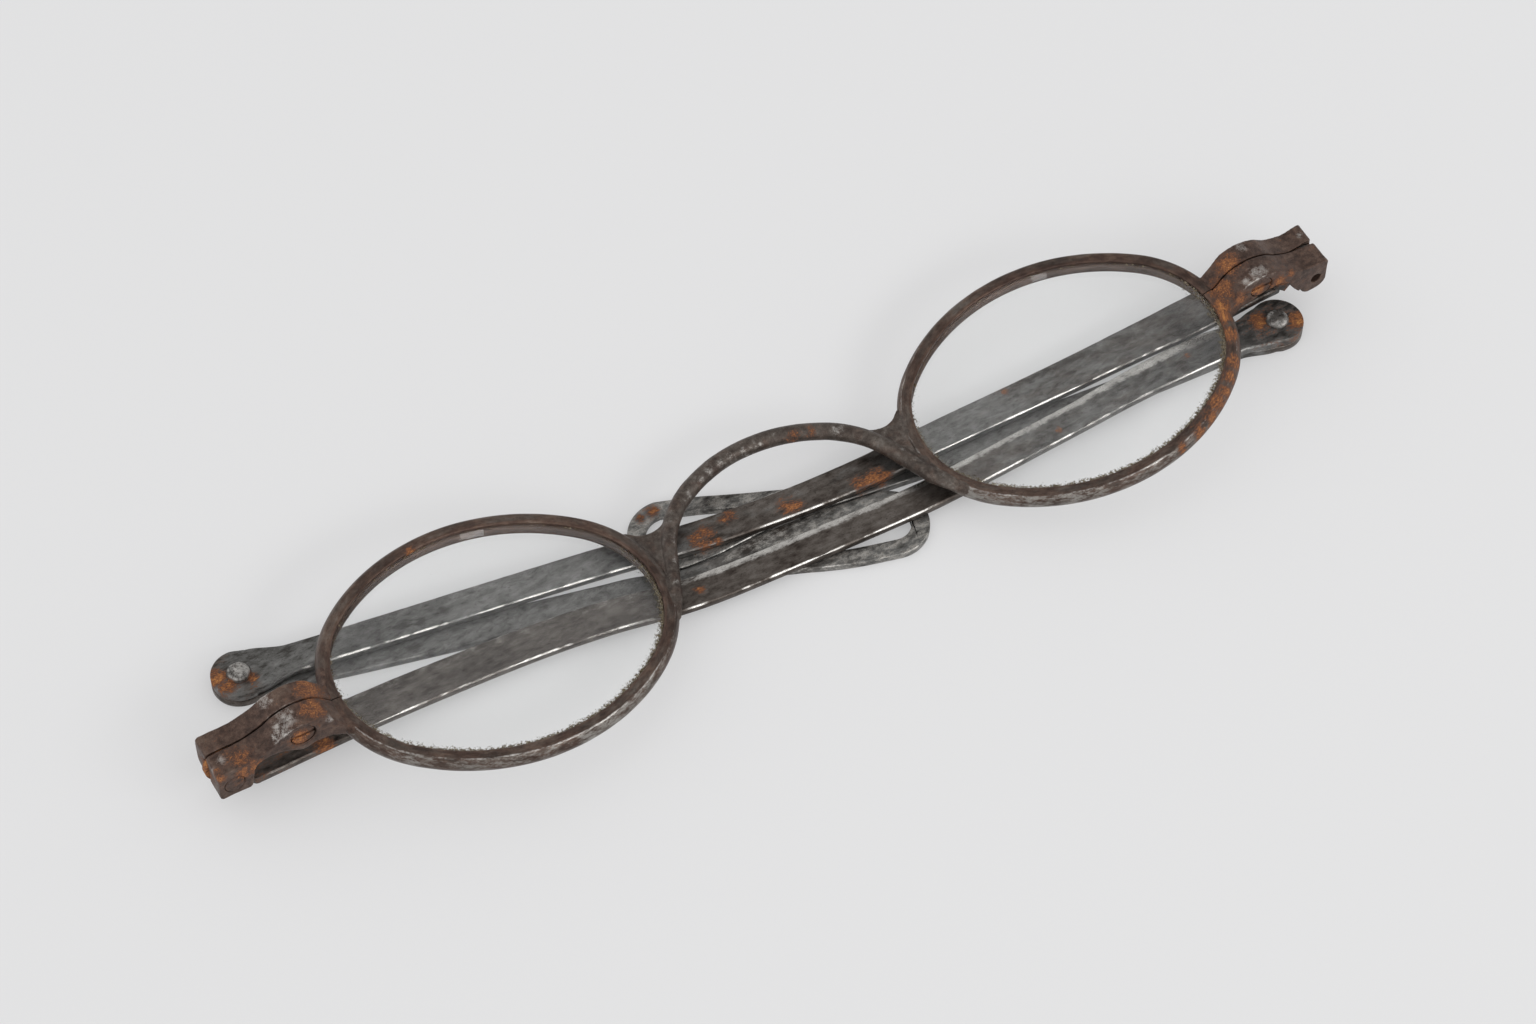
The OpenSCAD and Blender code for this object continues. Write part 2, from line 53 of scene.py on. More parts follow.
# The bridge
BRIDGE_RISE, BRIDGE_DROP, SHOULDER_R, LEG_ROOM = 8.35, 0.9, 10.3, 1.44
# The temples with their tongues, and the hinge pins
LEFT_LEN, RIGHT_LEN, STRIP_T, STRIP_W_ROOT, STRIP_W_NECK, EYE_R = 109.2, 107.9, 0.8, 3.9, 3.05, 2.55
ROOT_RISE, RISE_LEN, ROOT_START = 0.7, 45.0, 2.0
HINGE_Z, TONGUE_T, TONGUE_R, HINGE_PIN_D, TURN_GAP = 4.65, 0.75, 1.8, 1.0, 0.04
LEFT_HINGE, RIGHT_HINGE = np.array([-57.0, 0.4]), np.array([56.6, 2.5])
LEFT_HEAD, RIGHT_HEAD = -1.34, 180 - 3.91
# The tips and the turn pins
TIP_T, LOOP_BAND, STACK_GAP = 0.8, 1.7, 0.06
TURN_PIN_D, TURN_HEAD_D, TURN_HEAD_H = 1.2, 2.3, 0.55
STRIP_Z = TIP_T + STACK_GAP
# Centres and radii of the arcs of an oval
END_X = (EYE_W - EYE_H) / 2 / (1 + tan(MEET) - 1 / cos(MEET))
FLAT_Y = END_X * tan(MEET)
END_R, FLAT_R = EYE_W / 2 - END_X, EYE_H / 2 + FLAT_Y


def heading(a):
    """The plan direction at a degrees from X"""
    return np.array([cos(radians(a)), sin(radians(a))])


def to_left(d):
    """The plan direction a quarter turn to the left of d"""
    return np.array([-d[1], d[0]])


LEFT_PIN = LEFT_HINGE + LEFT_LEN * heading(LEFT_HEAD)
RIGHT_PIN = RIGHT_HINGE + RIGHT_LEN * heading(RIGHT_HEAD)
LEFT_TIP_HEAD, RIGHT_TIP_HEAD = LEFT_HEAD + 180 - 4.8, RIGHT_HEAD + 180 - 9.5


# Helpers
def noise(p, seed=0.0):
    """Smooth noise from -1 to 1 at the points p"""
    p = np.asarray(p, float)
    q = np.floor(p)
    f = p - q
    f = f * f * (3 - 2 * f)
    out = np.zeros(len(p))
    for dx in (0, 1):
        for dy in (0, 1):
            for dz in (0, 1):
                h = np.sin((q + (dx, dy, dz)) @ (12.9898, 78.233, 37.719) + seed * 3.7) * 43758.5453
                h = (h - np.floor(h)) * 2 - 1
                w = (f[:, 0] if dx else 1 - f[:, 0]) * (f[:, 1] if dy else 1 - f[:, 1])
                out += h * w * (f[:, 2] if dz else 1 - f[:, 2])
    return out


def noise1(t, seed=0.0):
    t = np.asarray(t, float)
    return noise(np.stack([t, t * 0 + 0.37, t * 0 + 0.61], 1), seed)


def clip01(x):
    return np.clip(x, 0, 1)


def unit(v):
    """Vectors of length 1 along v"""
    return v / np.linalg.norm(v, axis=-1, keepdims=True)


def fbm(p, seed=0.0, octaves=3):
    p = np.asarray(p, float)
    return sum(noise(p * 2 ** k, seed + k) / 2 ** k for k in range(octaves))


def smooth_curve(points, n):
    """The CAD model's smooth curve through points"""
    p = np.asarray(points, float)
    out = []
    for i in range(len(p) - 1):
        a, b, c, d = p[max(i - 1, 0)], p[i], p[i + 1], p[min(i + 2, len(p) - 1)]
        out += [0.5 * (2 * b + (c - a) * t + (2 * a - 5 * b + 4 * c - d) * t * t
                       + (3 * b - a - 3 * c + d) * t ** 3) for t in (k / n for k in range(n))]
    return np.array(out + [p[-1]])


def new_mesh(name, verts, faces):
    me = bpy.data.meshes.new(name)
    me.from_pydata(np.asarray(verts, float).tolist(), [], faces)
    return me


def clean(me, merge=0.0, melt=1e-6):
    """Turns the faces outward. With merge, near points are joined first, and loose points and slivers go"""
    bm = bmesh.new()
    bm.from_mesh(me)
    if merge:
        bmesh.ops.delete(bm, geom=[v for v in bm.verts if not v.link_faces], context="VERTS")
        bmesh.ops.remove_doubles(bm, verts=bm.verts, dist=merge)
        bmesh.ops.dissolve_degenerate(bm, edges=bm.edges, dist=melt)
    bmesh.ops.recalc_face_normals(bm, faces=bm.faces)
    bm.to_mesh(me)
    bm.free()
    return me


def read(data, field, width, kind=float):
    out = np.zeros(len(data) * width, kind)
    data.foreach_get(field, out)
    return out.reshape(-1, width) if width > 1 else out


def points_of(me):
    return read(me.vertices, "co", 3)


def normals_of(me):
    return read(me.vertex_normals, "vector", 3)


def edges_of(me):
    return read(me.edges, "vertices", 2, int)


def faces_of(me):
    return [tuple(p.vertices) for p in me.polygons]


def put_points(me, co):
    me.vertices.foreach_set("co", np.asarray(co, float).ravel())
    me.update()


def read_attribute(me, name):
    return read(me.attributes[name].data, "value", 1)


def set_attribute(me, name, values, kind="FLOAT", field="value"):
    a = me.attributes.get(name) or me.attributes.new(name, kind, "POINT")
    a.data.foreach_set(field, np.asarray(values, float).ravel())


def set_flow(me, flow):
    """Gives each point its place in the materials' patterns"""
    set_attribute(me, "flow", flow, "FLOAT_VECTOR", "vector")


def piece(name, me, body, nodes, material, sharp=40):
    """Makes a piece of a mesh in millimetres"""
    put_points(me, points_of(me) * MM)
    me.shade_smooth()
    if sharp:
        me.set_sharp_from_angle(angle=radians(sharp))
    ob = bpy.data.objects.new(name, me)
    put(ob)
    me.materials.append(material)
    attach(ob, body)
    if nodes:
        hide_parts(*nodes)


def relax(co, edges, rounds, factor=0.5):
    """Each point moves towards the middle of its neighbours"""
    n = len(co)
    count = np.bincount(edges.ravel(), minlength=n)[:, None]
    for _ in range(rounds):
        total = np.zeros_like(co)
        for k in range(co.shape[1]):
            total[:, k] = (np.bincount(edges[:, 0], co[edges[:, 1], k], n)
                           + np.bincount(edges[:, 1], co[edges[:, 0], k], n))
        co = co + factor * (total / np.maximum(count, 1) - co)
    return co


def join_meshes(parts):
    verts, faces, n = [], [], 0
    for v, f in parts:
        verts.append(np.asarray(v, float))
        faces += [tuple(i + n for i in face) for face in f]
        n += len(v)
    return cat(verts), faces


def node_mesh(node):
    """Points in millimetres and faces of a CAD node"""
    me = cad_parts[node].data
    return points_of(me) * TO_MM, faces_of(me)


def forged(parts, voxel, rounds, rough, seed, grain):
    """One closed skin round overlapping closed parts, with rounded edges and a hand-worked surface"""
    me = new_mesh("raw", *join_meshes(parts))
    ob = bpy.data.objects.new("raw", me)
    put(ob)
    mod = ob.modifiers.new("skin", "REMESH")
    mod.mode, mod.voxel_size, mod.adaptivity = "VOXEL", voxel, 0.0
    done = ob.evaluated_get(bpy.context.evaluated_depsgraph_get())
    out = bpy.data.meshes.new_from_object(done)
    bpy.data.objects.remove(ob)
    bpy.data.meshes.remove(me)
    co = relax(points_of(out), edges_of(out), rounds)
    put_points(out, co)
    lift = fbm(co * grain, seed) * rough - rough * 0.6
    put_points(out, co + normals_of(out) * np.minimum(lift, 0.0)[:, None])
    return out


def add_wear_and_highlight(me, reach, gain):
    """Marks the raised edges of a mesh, as worn metal and as painted highlights, in the attribute the iron
    reads for both
    """
    co = points_of(me)
    bulge = ((co - relax(co, edges_of(me), reach)) * normals_of(me)).sum(1)
    set_attribute(me, "wear_and_highlight", clip01(bulge * gain))


def spots(co, places):
    """Strength of the placed patches at the points co. A place is x, y, z, radius"""
    out = np.zeros(len(co))
    for x, y, z, r in places:
        d = np.linalg.norm(co - (x, y, z), axis=1) / r
        out = np.maximum(out, np.exp(-0.75 * d * d))
    return out


def ring_faces(n, m):
    """Faces between n rings of m points"""
    return [(i * m + j, i * m + (j + 1) % m, (i + 1) * m + (j + 1) % m, (i + 1) * m + j)
            for i in range(n - 1) for j in range(m)]


def bar_faces(n, m):
    """Faces of a closed bar of n rings of m points"""
    return ring_faces(n, m) + [tuple(range(m)), tuple(range((n - 1) * m, n * m))]


# Materials
def make_material(name):
    m = bpy.data.materials.new(name)
    m.use_nodes = True
    m.node_tree.nodes.clear()
    return m, m.node_tree


def add(tree, kind, settings=None, **inputs):
    """A node with its settings and inputs. An input is named, with _ for a space, or numbered, as in _0"""
    n = tree.nodes.new(kind)
    for k, v in (settings or {}).items():
        setattr(n, k, v)
    for k, v in inputs.items():
        s = n.inputs[int(k[1:])] if k[0] == "_" else n.inputs[k.replace("_", " ")]
        if hasattr(v, "links"):
            tree.links.new(v, s)
        else:
            s.default_value = v
    return n


def noise_tex(t, vector, scale, detail, rough):
    n = add(t, "ShaderNodeTexNoise", _0=vector, Scale=scale, Detail=detail, Roughness=rough)
    return n.outputs["Fac"]


def calc(t, op, a, b=0.5, c=0.0):
    return add(t, "ShaderNodeMath", {"operation": op}, _0=a, _1=b, _2=c).outputs[0]


def plus(t, a, b):
    return calc(t, "ADD", a, b)


def times(t, a, b):
    return calc(t, "MULTIPLY", a, b)


def swing(t, value, gain):
    """Takes a value from 0 to 1 to one from -gain / 2 to gain / 2"""
    return calc(t, "MULTIPLY_ADD", value, gain, -gain / 2)


def step_mask(t, value, low, high):
    n = add(t, "ShaderNodeMapRange", {"interpolation_type": "SMOOTHSTEP"}, Value=value, From_Min=low,
            From_Max=high)
    return n.outputs[0]


def mix_colour(t, factor, a, b):
    a, b = ((*v, 1) if isinstance(v, tuple) else v for v in (a, b))
    return add(t, "ShaderNodeMix", {"data_type": "RGBA"}, _0=factor, _6=a, _7=b).outputs[2]


def mix_value(t, factor, a, b):
    return add(t, "ShaderNodeMix", _0=factor, _2=a, _3=b).outputs[0]


def mix_shader(t, factor, a, b):
    return add(t, "ShaderNodeMixShader", _0=factor, _1=a.outputs[0], _2=b.outputs[0])


def bump(t, height, strength, distance):
    return add(t, "ShaderNodeBump", Strength=strength, Distance=distance, Height=height).outputs[0]


def show(t, shader):
    add(t, "ShaderNodeOutputMaterial", Surface=shader.outputs[0])


def ramp(t, value, *stops):
    n = add(t, "ShaderNodeValToRGB", Fac=value)
    e = n.color_ramp.elements
    while len(e) < len(stops):
        e.new(0.5)
    for item, (at, colour) in zip(e, stops):
        item.position = at
        item.color = (*colour, 1)
    return n.outputs[0]


def attribute(t, name, kind="Fac"):
    return add(t, "ShaderNodeAttribute", {"attribute_name": name}).outputs[kind]


BARE, BARE_PIT = (0.42, 0.40, 0.37), (0.09, 0.075, 0.062)
SPECK, PIT = (0.42, 0.40, 0.37), (0.022, 0.018, 0.015)
# The worn colour, with its pits, also paints the highlights
WORN_AND_HIGHLIGHT, WORN_AND_HIGHLIGHT_PIT = (0.62, 0.60, 0.57), (0.16, 0.14, 0.12)
RUST_RAMP = [(0.42, (0.045, 0.020, 0.012)), (0.54, (0.115, 0.044, 0.021)), (0.66, (0.25, 0.092, 0.031)),
             (0.80, (0.50, 0.215, 0.055))]


def aged(name, tones, browns, metal=0.85, gloss=0.4, side=BARE, specks=1.0, relief=0.5):
    """Old iron: mottled skin, worn bright edges, pitted bared sides and rust. The bright edges and placed
    spots are partly painted highlights, and so are the eye wires' bared sides towards the chin. Its
    attributes for tone, for worn metal and painted highlight, for bared sides and for rust say how much of
    each, and flow gives the pattern's place"""
    m, t = make_material(name)
    flow = attribute(t, "flow", "Vector")
    moved = add(t, "ShaderNodeVectorMath", {"operation": "ADD"}, _0=flow, _1=(31.0, 17.0, 5.0)).outputs[0]
    broad = noise_tex(t, flow, 0.32, 3.0, 0.6)
    mottle = noise_tex(t, flow, 1.7, 8.0, 0.66)
    grain = noise_tex(t, flow, 8.0, 6.0, 0.7)
    fine = noise_tex(t, flow, 27.0, 3.0, 0.6)
    blotch = noise_tex(t, moved, 0.9, 5.0, 0.6)

    # The skin, between grey and brown
    level = plus(t, times(t, mottle, 0.62), times(t, broad, 0.38))
    tone = step_mask(t, plus(t, attribute(t, "tone"), swing(t, blotch, 1.1)), 0.25, 0.75)
    colour = mix_colour(t, tone, ramp(t, level, *tones), ramp(t, level, *browns))
    pits = step_mask(t, grain, 0.54, 0.66)
    colour = mix_colour(t, times(t, pits, 0.55), colour, PIT)
    colour = mix_colour(t, times(t, step_mask(t, fine, 0.6, 0.74), 0.35 * specks), colour, SPECK)

    # Bared sides and worn edges, both partly painted highlights
    wander = plus(t, swing(t, mottle, 1.5), swing(t, grain, 1.5))
    bare_and_highlight = step_mask(t, plus(t, attribute(t, "side"), wander), 0.42, 0.8)
    colour = mix_colour(t, bare_and_highlight, colour, mix_colour(t, pits, side, BARE_PIT))
    shine = step_mask(t, plus(t, attribute(t, "wear_and_highlight"), times(t, wander, 0.8)), 0.38, 0.98)
    colour = mix_colour(t, shine, colour, mix_colour(t, times(t, pits, 0.7), WORN_AND_HIGHLIGHT, WORN_AND_HIGHLIGHT_PIT))

    # Rust over both
    uneven = plus(t, plus(t, swing(t, blotch, 1.1), swing(t, mottle, 1.6)), swing(t, grain, 1.0))
    amount = plus(t, attribute(t, "rust"), uneven)
    red = step_mask(t, amount, 0.3, 0.9)
    shade = plus(t, times(t, grain, 0.75), calc(t, "MULTIPLY_ADD", amount, 0.26, -0.02))
    colour = mix_colour(t, red, colour, ramp(t, shade, *RUST_RAMP))

    rough = mix_value(t, shine, mix_value(t, pits, gloss, gloss + 0.2), 0.27)
    rough = mix_value(t, red, rough, 0.85)
    metallic = mix_value(t, red, mix_value(t, shine, metal, 1.0), 0.0)
    height = plus(t, times(t, mottle, 0.55), times(t, grain, 0.45))
    height = plus(t, height, times(t, times(t, red, grain), 0.9))
    show(t, add(t, "ShaderNodeBsdfPrincipled", Base_Color=colour, Metallic=metallic, Roughness=rough,
                Normal=bump(t, height, relief, 0.00008)))
    return m


DARK = [(0.38, (0.045, 0.033, 0.027)), (0.5, (0.085, 0.068, 0.057)), (0.6, (0.13, 0.11, 0.095)),
        (0.7, (0.19, 0.17, 0.15))]
DARKER = [(0.38, (0.040, 0.022, 0.016)), (0.5, (0.085, 0.050, 0.037)), (0.6, (0.135, 0.088, 0.066)),
          (0.7, (0.19, 0.14, 0.11))]
STEEL = [(0.38, (0.060, 0.056, 0.051)), (0.46, (0.135, 0.132, 0.126)), (0.54, (0.190, 0.187, 0.180)),
         (0.66, (0.27, 0.266, 0.258))]
UMBER = [(0.38, (0.036, 0.027, 0.022)), (0.46, (0.080, 0.066, 0.057)), (0.54, (0.120, 0.103, 0.091)),
         (0.66, (0.185, 0.165, 0.150))]
PATINA = aged("patina_iron", DARK, DARKER, metal=0.6, gloss=0.46)
# On the eye wires the colour of bared sides is partly a painted highlight, towards the chin
RIM_IRON = aged("rim_iron", DARK, DARKER, metal=0.65, gloss=0.38, side=(0.27, 0.255, 0.235), specks=0.7)
STRIP = aged("strip_steel", STEEL, UMBER, specks=0.6, relief=0.28)
PIN = aged("pin_steel", STEEL, UMBER)


def glass():
    """Clear glass, with old dirt where it meets the wire"""
    m, t = make_material("lens_glass")
    body = add(t, "ShaderNodeBsdfPrincipled", Base_Color=(0.995, 1.0, 0.998, 1), Roughness=0.01, IOR=1.03,
               Transmission_Weight=1.0)
    sheen = add(t, "ShaderNodeBsdfGlossy", Color=(1, 1, 1, 1), Roughness=0.02)
    facing = add(t, "ShaderNodeLayerWeight", Blend=0.5).outputs["Facing"]
    glossy = calc(t, "MULTIPLY_ADD", calc(t, "POWER", facing, 5.0), 0.9, 0.035)
    # Lamplight passes straight through, so that the table is lit below the lenses
    open_glass = add(t, "ShaderNodeBsdfTransparent", Color=(0.99, 0.992, 0.991, 1))
    path = add(t, "ShaderNodeLightPath").outputs
    lit = calc(t, "MAXIMUM", path["Is Shadow Ray"], path["Is Diffuse Ray"])
    clear = mix_shader(t, lit, mix_shader(t, glossy, body, sheen), open_glass)
    flow = attribute(t, "flow", "Vector")
    near = plus(t, attribute(t, "edge"), swing(t, noise_tex(t, flow, 3.5, 6.0, 0.75), 2.4))
    dirt_colour = ramp(t, noise_tex(t, flow, 9.0, 4.0, 0.7), (0.4, (0.06, 0.042, 0.028)),
                       (0.52, (0.17, 0.14, 0.09)), (0.64, (0.36, 0.32, 0.24)))
    dirt = add(t, "ShaderNodeBsdfDiffuse", Color=dirt_colour)
    show(t, mix_shader(t, step_mask(t, near, 0.45, 0.85), clear, dirt))
    return m


def dry_crust():
    """Old polish and rust, dried to a crust"""
    m, t = make_material("rim_crust")
    flow = attribute(t, "flow", "Vector")
    colour = ramp(t, noise_tex(t, flow, 2.2, 5.0, 0.7), (0.36, (0.05, 0.032, 0.02)),
                  (0.5, (0.13, 0.095, 0.06)), (0.6, (0.24, 0.20, 0.14)), (0.74, (0.42, 0.38, 0.29)))
    show(t, add(t, "ShaderNodeBsdfPrincipled", Base_Color=colour, Roughness=0.9,
                Normal=bump(t, noise_tex(t, flow, 12.0, 4.0, 0.7), 0.6, 0.00005)))
    return m


GLASS, CRUST = glass(), dry_crust()


# Places of the patches: x, y, z, radius
RUST = [(-47.8, 1.2, 8.2, 1.5), (-48.5, -1.0, 8.5, 1.2), (-56.1, -1.5, 6.9, 1.0), (-54.9, -2.5, 5.8, 0.9),
        (-58.5, -2.4, 6.5, 0.8), (-56.1, -2.5, 5.8, 0.8), (-50.6, -2.3, 6.9, 0.9), (-47.7, -1.0, 2.1, 0.9),
        (-46.4, -1.6, 5.6, 0.8), (-53.1, 10.4, 1.7, 0.9), (-52.6, 9.1, 1.7, 0.7), (-50.2, 8.8, 1.7, 0.6),
        (48.1, 1.5, 8.4, 1.3), (46.8, 0.3, 7.2, 1.2), (45.8, -1.3, 6.5, 1.0), (52.2, -1.6, 6.6, 1.1),
        (49.9, -1.5, 6.9, 0.8), (53.4, -1.6, 7.3, 0.6), (47.6, -1.6, 6.9, 0.9), (43.5, -7.2, 6.3, 0.9),
        (42.2, -8.5, 6.2, 0.9), (39.8, -10.3, 5.9, 1.0), (36.6, -12.0, 5.4, 0.9), (44.9, -4.2, 6.5, 1.0),
        (45.5, -2.6, 6.6, 0.9), (41.1, -9.6, 6.0, 0.8), (38.3, -11.3, 5.6, 0.9), (34.2, -12.7, 5.1, 0.6),
        (53.9, -2.9, 1.7, 0.8), (50.6, -1.4, 1.7, 0.7), (4.5, 6.9, 3.9, 0.9), (6.1, 6.6, 4.2, 0.7),
        (-8.6, 2.6, 1.7, 0.8), (-7.2, 2.5, 1.7, 0.9), (-6.7, 1.5, 1.7, 0.5), (-4.4, 3.5, 1.7, 0.7),
        (1.0, 1.6, 1.7, 1.15), (0.6, 1.9, 1.7, 0.8), (-7.4, 2.6, 1.7, 1.1), (7.8, 0.6, 1.7, 0.9),
        (10.0, 0.6, 1.7, 1.1), (8.9, 0.7, 1.7, 0.8), (-7.9, 1.9, 1.7, 1.0), (-5.0, 3.3, 1.7, 0.6),
        (25.1, 3.1, 1.7, 0.45), (42.4, -1.5, 1.7, 0.4), (27.2, -3.1, 1.7, 0.45), (-10.9, -2.5, 1.7, 0.5),
        (-10.1, 7.8, 0.8, 0.8), (-11.4, 7.8, 0.8, 0.6), (-32.7, 11.7, 5.3, 0.5), (-57.9, 0.1, 5.0, 1.2)]
# The next spots are worn metal and painted highlights, where light shines on the lugs' humps and the bridge's
# crown
WEAR_AND_HIGHLIGHTS = [(-51.9, 1.6, 8.4, 0.9), (-51.0, -1.1, 8.7, 1.3), (-51.8, -2.0, 8.4, 0.8), (-58.5, -1.5, 6.3, 0.6),
        (-57.4, -1.0, 6.8, 0.7), (-52.0, -1.2, 8.3, 0.8), (50.0, -1.0, 8.8, 1.2), (48.6, -1.2, 8.6, 0.7),
        (50.3, 2.4, 8.8, 0.8), (57.0, 2.2, 6.8, 0.5), (-0.5, 7.5, 4.0, 0.9), (1.1, 7.5, 4.0, 0.7),
        (8.2, 5.4, 4.1, 0.9), (11.8, -0.8, 3.8, 0.35), (14.2, 2.5, 4.3, 0.35), (-1.7, 7.7, 4.1, 0.9),
        (-3.0, 7.5, 4.1, 0.8), (-4.3, 7.2, 4.1, 0.8), (-5.6, 6.7, 4.1, 0.6), (-7.3, 5.7, 4.0, 0.5),
        (-11.1, 2.0, 4.1, 0.45), (-12.0, -0.2, 4.1, 0.5), (-12.9, -2.2, 4.1, 0.5), (12.4, 0.5, 4.1, 0.5),
        (13.2, -1.4, 4.1, 0.55), (14.1, -3.6, 4.0, 0.5), (-51.4, -1.5, 8.6, 0.9), (-52.6, -1.8, 8.1, 0.7),
        (-47.7, -2.4, 7.7, 0.5), (50.6, -0.7, 8.8, 0.8)]


def weather(me, flow=None, tone=0.5, rust=0.0, side=0.0, rust_gain=1.0, wear_and_highlight_gain=0.5):
    """Gives a mesh in millimetres the attributes that the iron material reads"""
    co = points_of(me)
    even = np.zeros(len(co))
    set_flow(me, co if flow is None else flow)
    set_attribute(me, "tone", even + tone)
    set_attribute(me, "side", even + side)
    set_attribute(me, "rust", np.clip(rust + rust_gain * spots(co, RUST), 0, 1.1))
    wear_and_highlight = read_attribute(me, "wear_and_highlight") if "wear_and_highlight" in me.attributes else even
    # The placed spots add worn metal and painted highlights
    set_attribute(me, "wear_and_highlight", np.clip(wear_and_highlight + wear_and_highlight_gain * spots(co, WEAR_AND_HIGHLIGHTS), 0, 1.1))


# Eye wires and lenses
def arcs(angle):
    """Centres and radii of the oval's arcs at the angles"""
    end = np.abs(np.sin(angle)) <= sin(MEET)
    centre = np.where(end[:, None], (END_X, 0.0), (0.0, -FLAT_Y))
    return centre * np.sign([np.cos(angle), np.sin(angle)]).T, np.where(end, END_R, FLAT_R)


def oval_at(angle_from, angle_to, steps):
    """Even steps round the oval's outline from one angle to another: their arcs' centres, angles and radii"""
    fine = np.linspace(angle_from, angle_to, 4001)
    radius = arcs(fine)[1]
    run = cat([[0], np.cumsum(np.diff(fine) * (radius[1:] + radius[:-1]) / 2)])
    angles = np.interp(np.linspace(0, run[-1], steps), run, fine)
    centre, radius = arcs(angles)
    return centre, angles, radius


def round_oval(centre, r, a, w):
    """Points in eye coordinates at radii r and angles a about the arcs' centres, at heights w"""
    x, y = centre[:, None, 0] + r * np.cos(a), centre[:, None, 1] + r * np.sin(a)
    return np.stack([x, y, w], 2).reshape(-1, 3)


def on_eye(p, side):
    """From eye coordinates, drawn as on the right, to the object's"""
    a = radians(RIM_TILT_DEG)
    x = p[:, 0] * cos(a) - p[:, 2] * sin(a)
    z = p[:, 0] * sin(a) + p[:, 2] * cos(a)
    return np.stack([side * (x + LENS_CENTRES / 2), p[:, 1], z + FRONT_Z], 1)


# Upper half of the wire's section: out from the outline, and up. RIM_OUTER is its outer part
RIM_PROFILE = [(-0.95, 0.0), (-1.17, 0.27), (-1.395, 0.545), (-1.4, 0.60), (-1.395, 0.74), (-1.36, 0.84),
               (-1.27, 0.90), (-1.1, 0.93), (-0.9, 0.945), (-0.7, 0.95), (-0.56, 0.942), (-0.46, 0.915),
               (-0.38, 0.86), (-0.3, 0.78), (-0.21, 0.66), (-0.13, 0.5), (-0.06, 0.33), (-0.015, 0.16),
               (0.0, 0.0)]
RIM_OUTER = np.array(RIM_PROFILE[10:])
RIM_STEPS, RIM_LENGTH, END_STEPS = 700, 96.0, 8
# The lens's half thickness at its edge, how much its face is crowned, and the rings and steps that draw it
LENS_HALF_T, LENS_CROWN, LENS_RINGS, LENS_STEPS = 0.5, 0.13, 26, 240
DIRT_REACH, CRUST_LUMPS = 0.9, 520


def rim(side):
    """An eye wire, split at its outer end"""
    name, steps = SIDE_NAME[side] + "_eye_wire", RIM_STEPS
    y0 = SPLIT[side]
    first = asin((y0 + SLIT / 2) / END_R)
    last = 2 * pi + asin((y0 - SLIT / 2) / END_R)
    centre, angle, rad = oval_at(first, last, steps)
    top = np.array(RIM_PROFILE)
    prof = cat([top, (top * (1, -1))[-2:0:-1]])
    m = len(prof)
    out, up = prof[:, 0], prof[:, 1]

    # A hand-drawn section: its width, depth and ridge wander a little
    run = np.cumsum(np.full(steps, RIM_LENGTH / steps))
    wide = 1 + 0.035 * noise1(run * 0.16, 3 + side) + 0.012 * noise1(run * 0.9, 7 + side)
    deep = 0.98 + 0.02 * noise1(run * 0.2, 11 + side)
    ridge = 0.05 * noise1(run * 0.35, 15 + side)
    high = np.abs(up) > 0.6
    u = np.where(out > -0.9, (out + RIM_W) * np.minimum(wide[:, None], 1.0) - RIM_W, out)
    u = u + ridge[:, None] * np.exp(-((out + 0.45) / 0.2) ** 2) * high
    w = up * np.where(high, deep[:, None], 1)

    # Both ends are cut along the slit
    ends = np.zeros(steps)
    ends[:END_STEPS] = np.linspace(1, 0, END_STEPS)
    ends[-END_STEPS:] = np.linspace(0, 1, END_STEPS)
    y_end = np.where(np.arange(steps) < steps / 2, y0 + SLIT / 2, y0 - SLIT / 2)[:, None]
    r = rad[:, None] + u
    spread = np.arcsin(y_end / np.maximum(r, 5)) - np.arcsin(y_end / rad[:, None])
    a = angle[:, None] + ends[:, None] * spread
    me = clean(new_mesh(name, on_eye(round_oval(centre, r, a, w), side), bar_faces(steps, m)))

    across = cat([[0], np.cumsum(np.linalg.norm(np.diff(prof, axis=0), axis=1))])
    flow = np.stack(np.broadcast_arrays(run[:, None] * 0.42 + 60 * side, across, up), 2).reshape(-1, 3)
    # Below the ridge the outer side is pitted, bared metal, most of all towards the chin. Towards the chin it
    #     faces the light, so the paler side there is partly a painted highlight; the light line along the
    #     ridge is likewise stronger towards the chin
    outer = (out > -0.42) & (up < 0.9) & (up > -0.75)
    chin = clip01(0.5 - 0.7 * np.sin(angle) - 0.4 * side * np.cos(angle))
    patch = 0.25 * noise1(run * 0.22, 55 + side) + 0.15 * noise1(run * 0.8, 57 + side)
    bare_and_highlight = (outer * clip01(0.05 + 0.50 * chin + patch * chin)[:, None]).ravel()
    line = clip01(0.2 + 0.35 * chin + 0.4 * noise1(run * 0.4, 58 + side))
    set_attribute(me, "wear_and_highlight", (((up > 0.84) & (out > -0.5)) * line[:, None]).ravel())
    inner = np.tile(out < -1.1, steps) * 1.0
    weather(me, flow, tone=0.55 + 0.3 * inner, side=bare_and_highlight, rust=0.05)
    piece(name + "_drawn", me, "front", [name], RIM_IRON, 50)


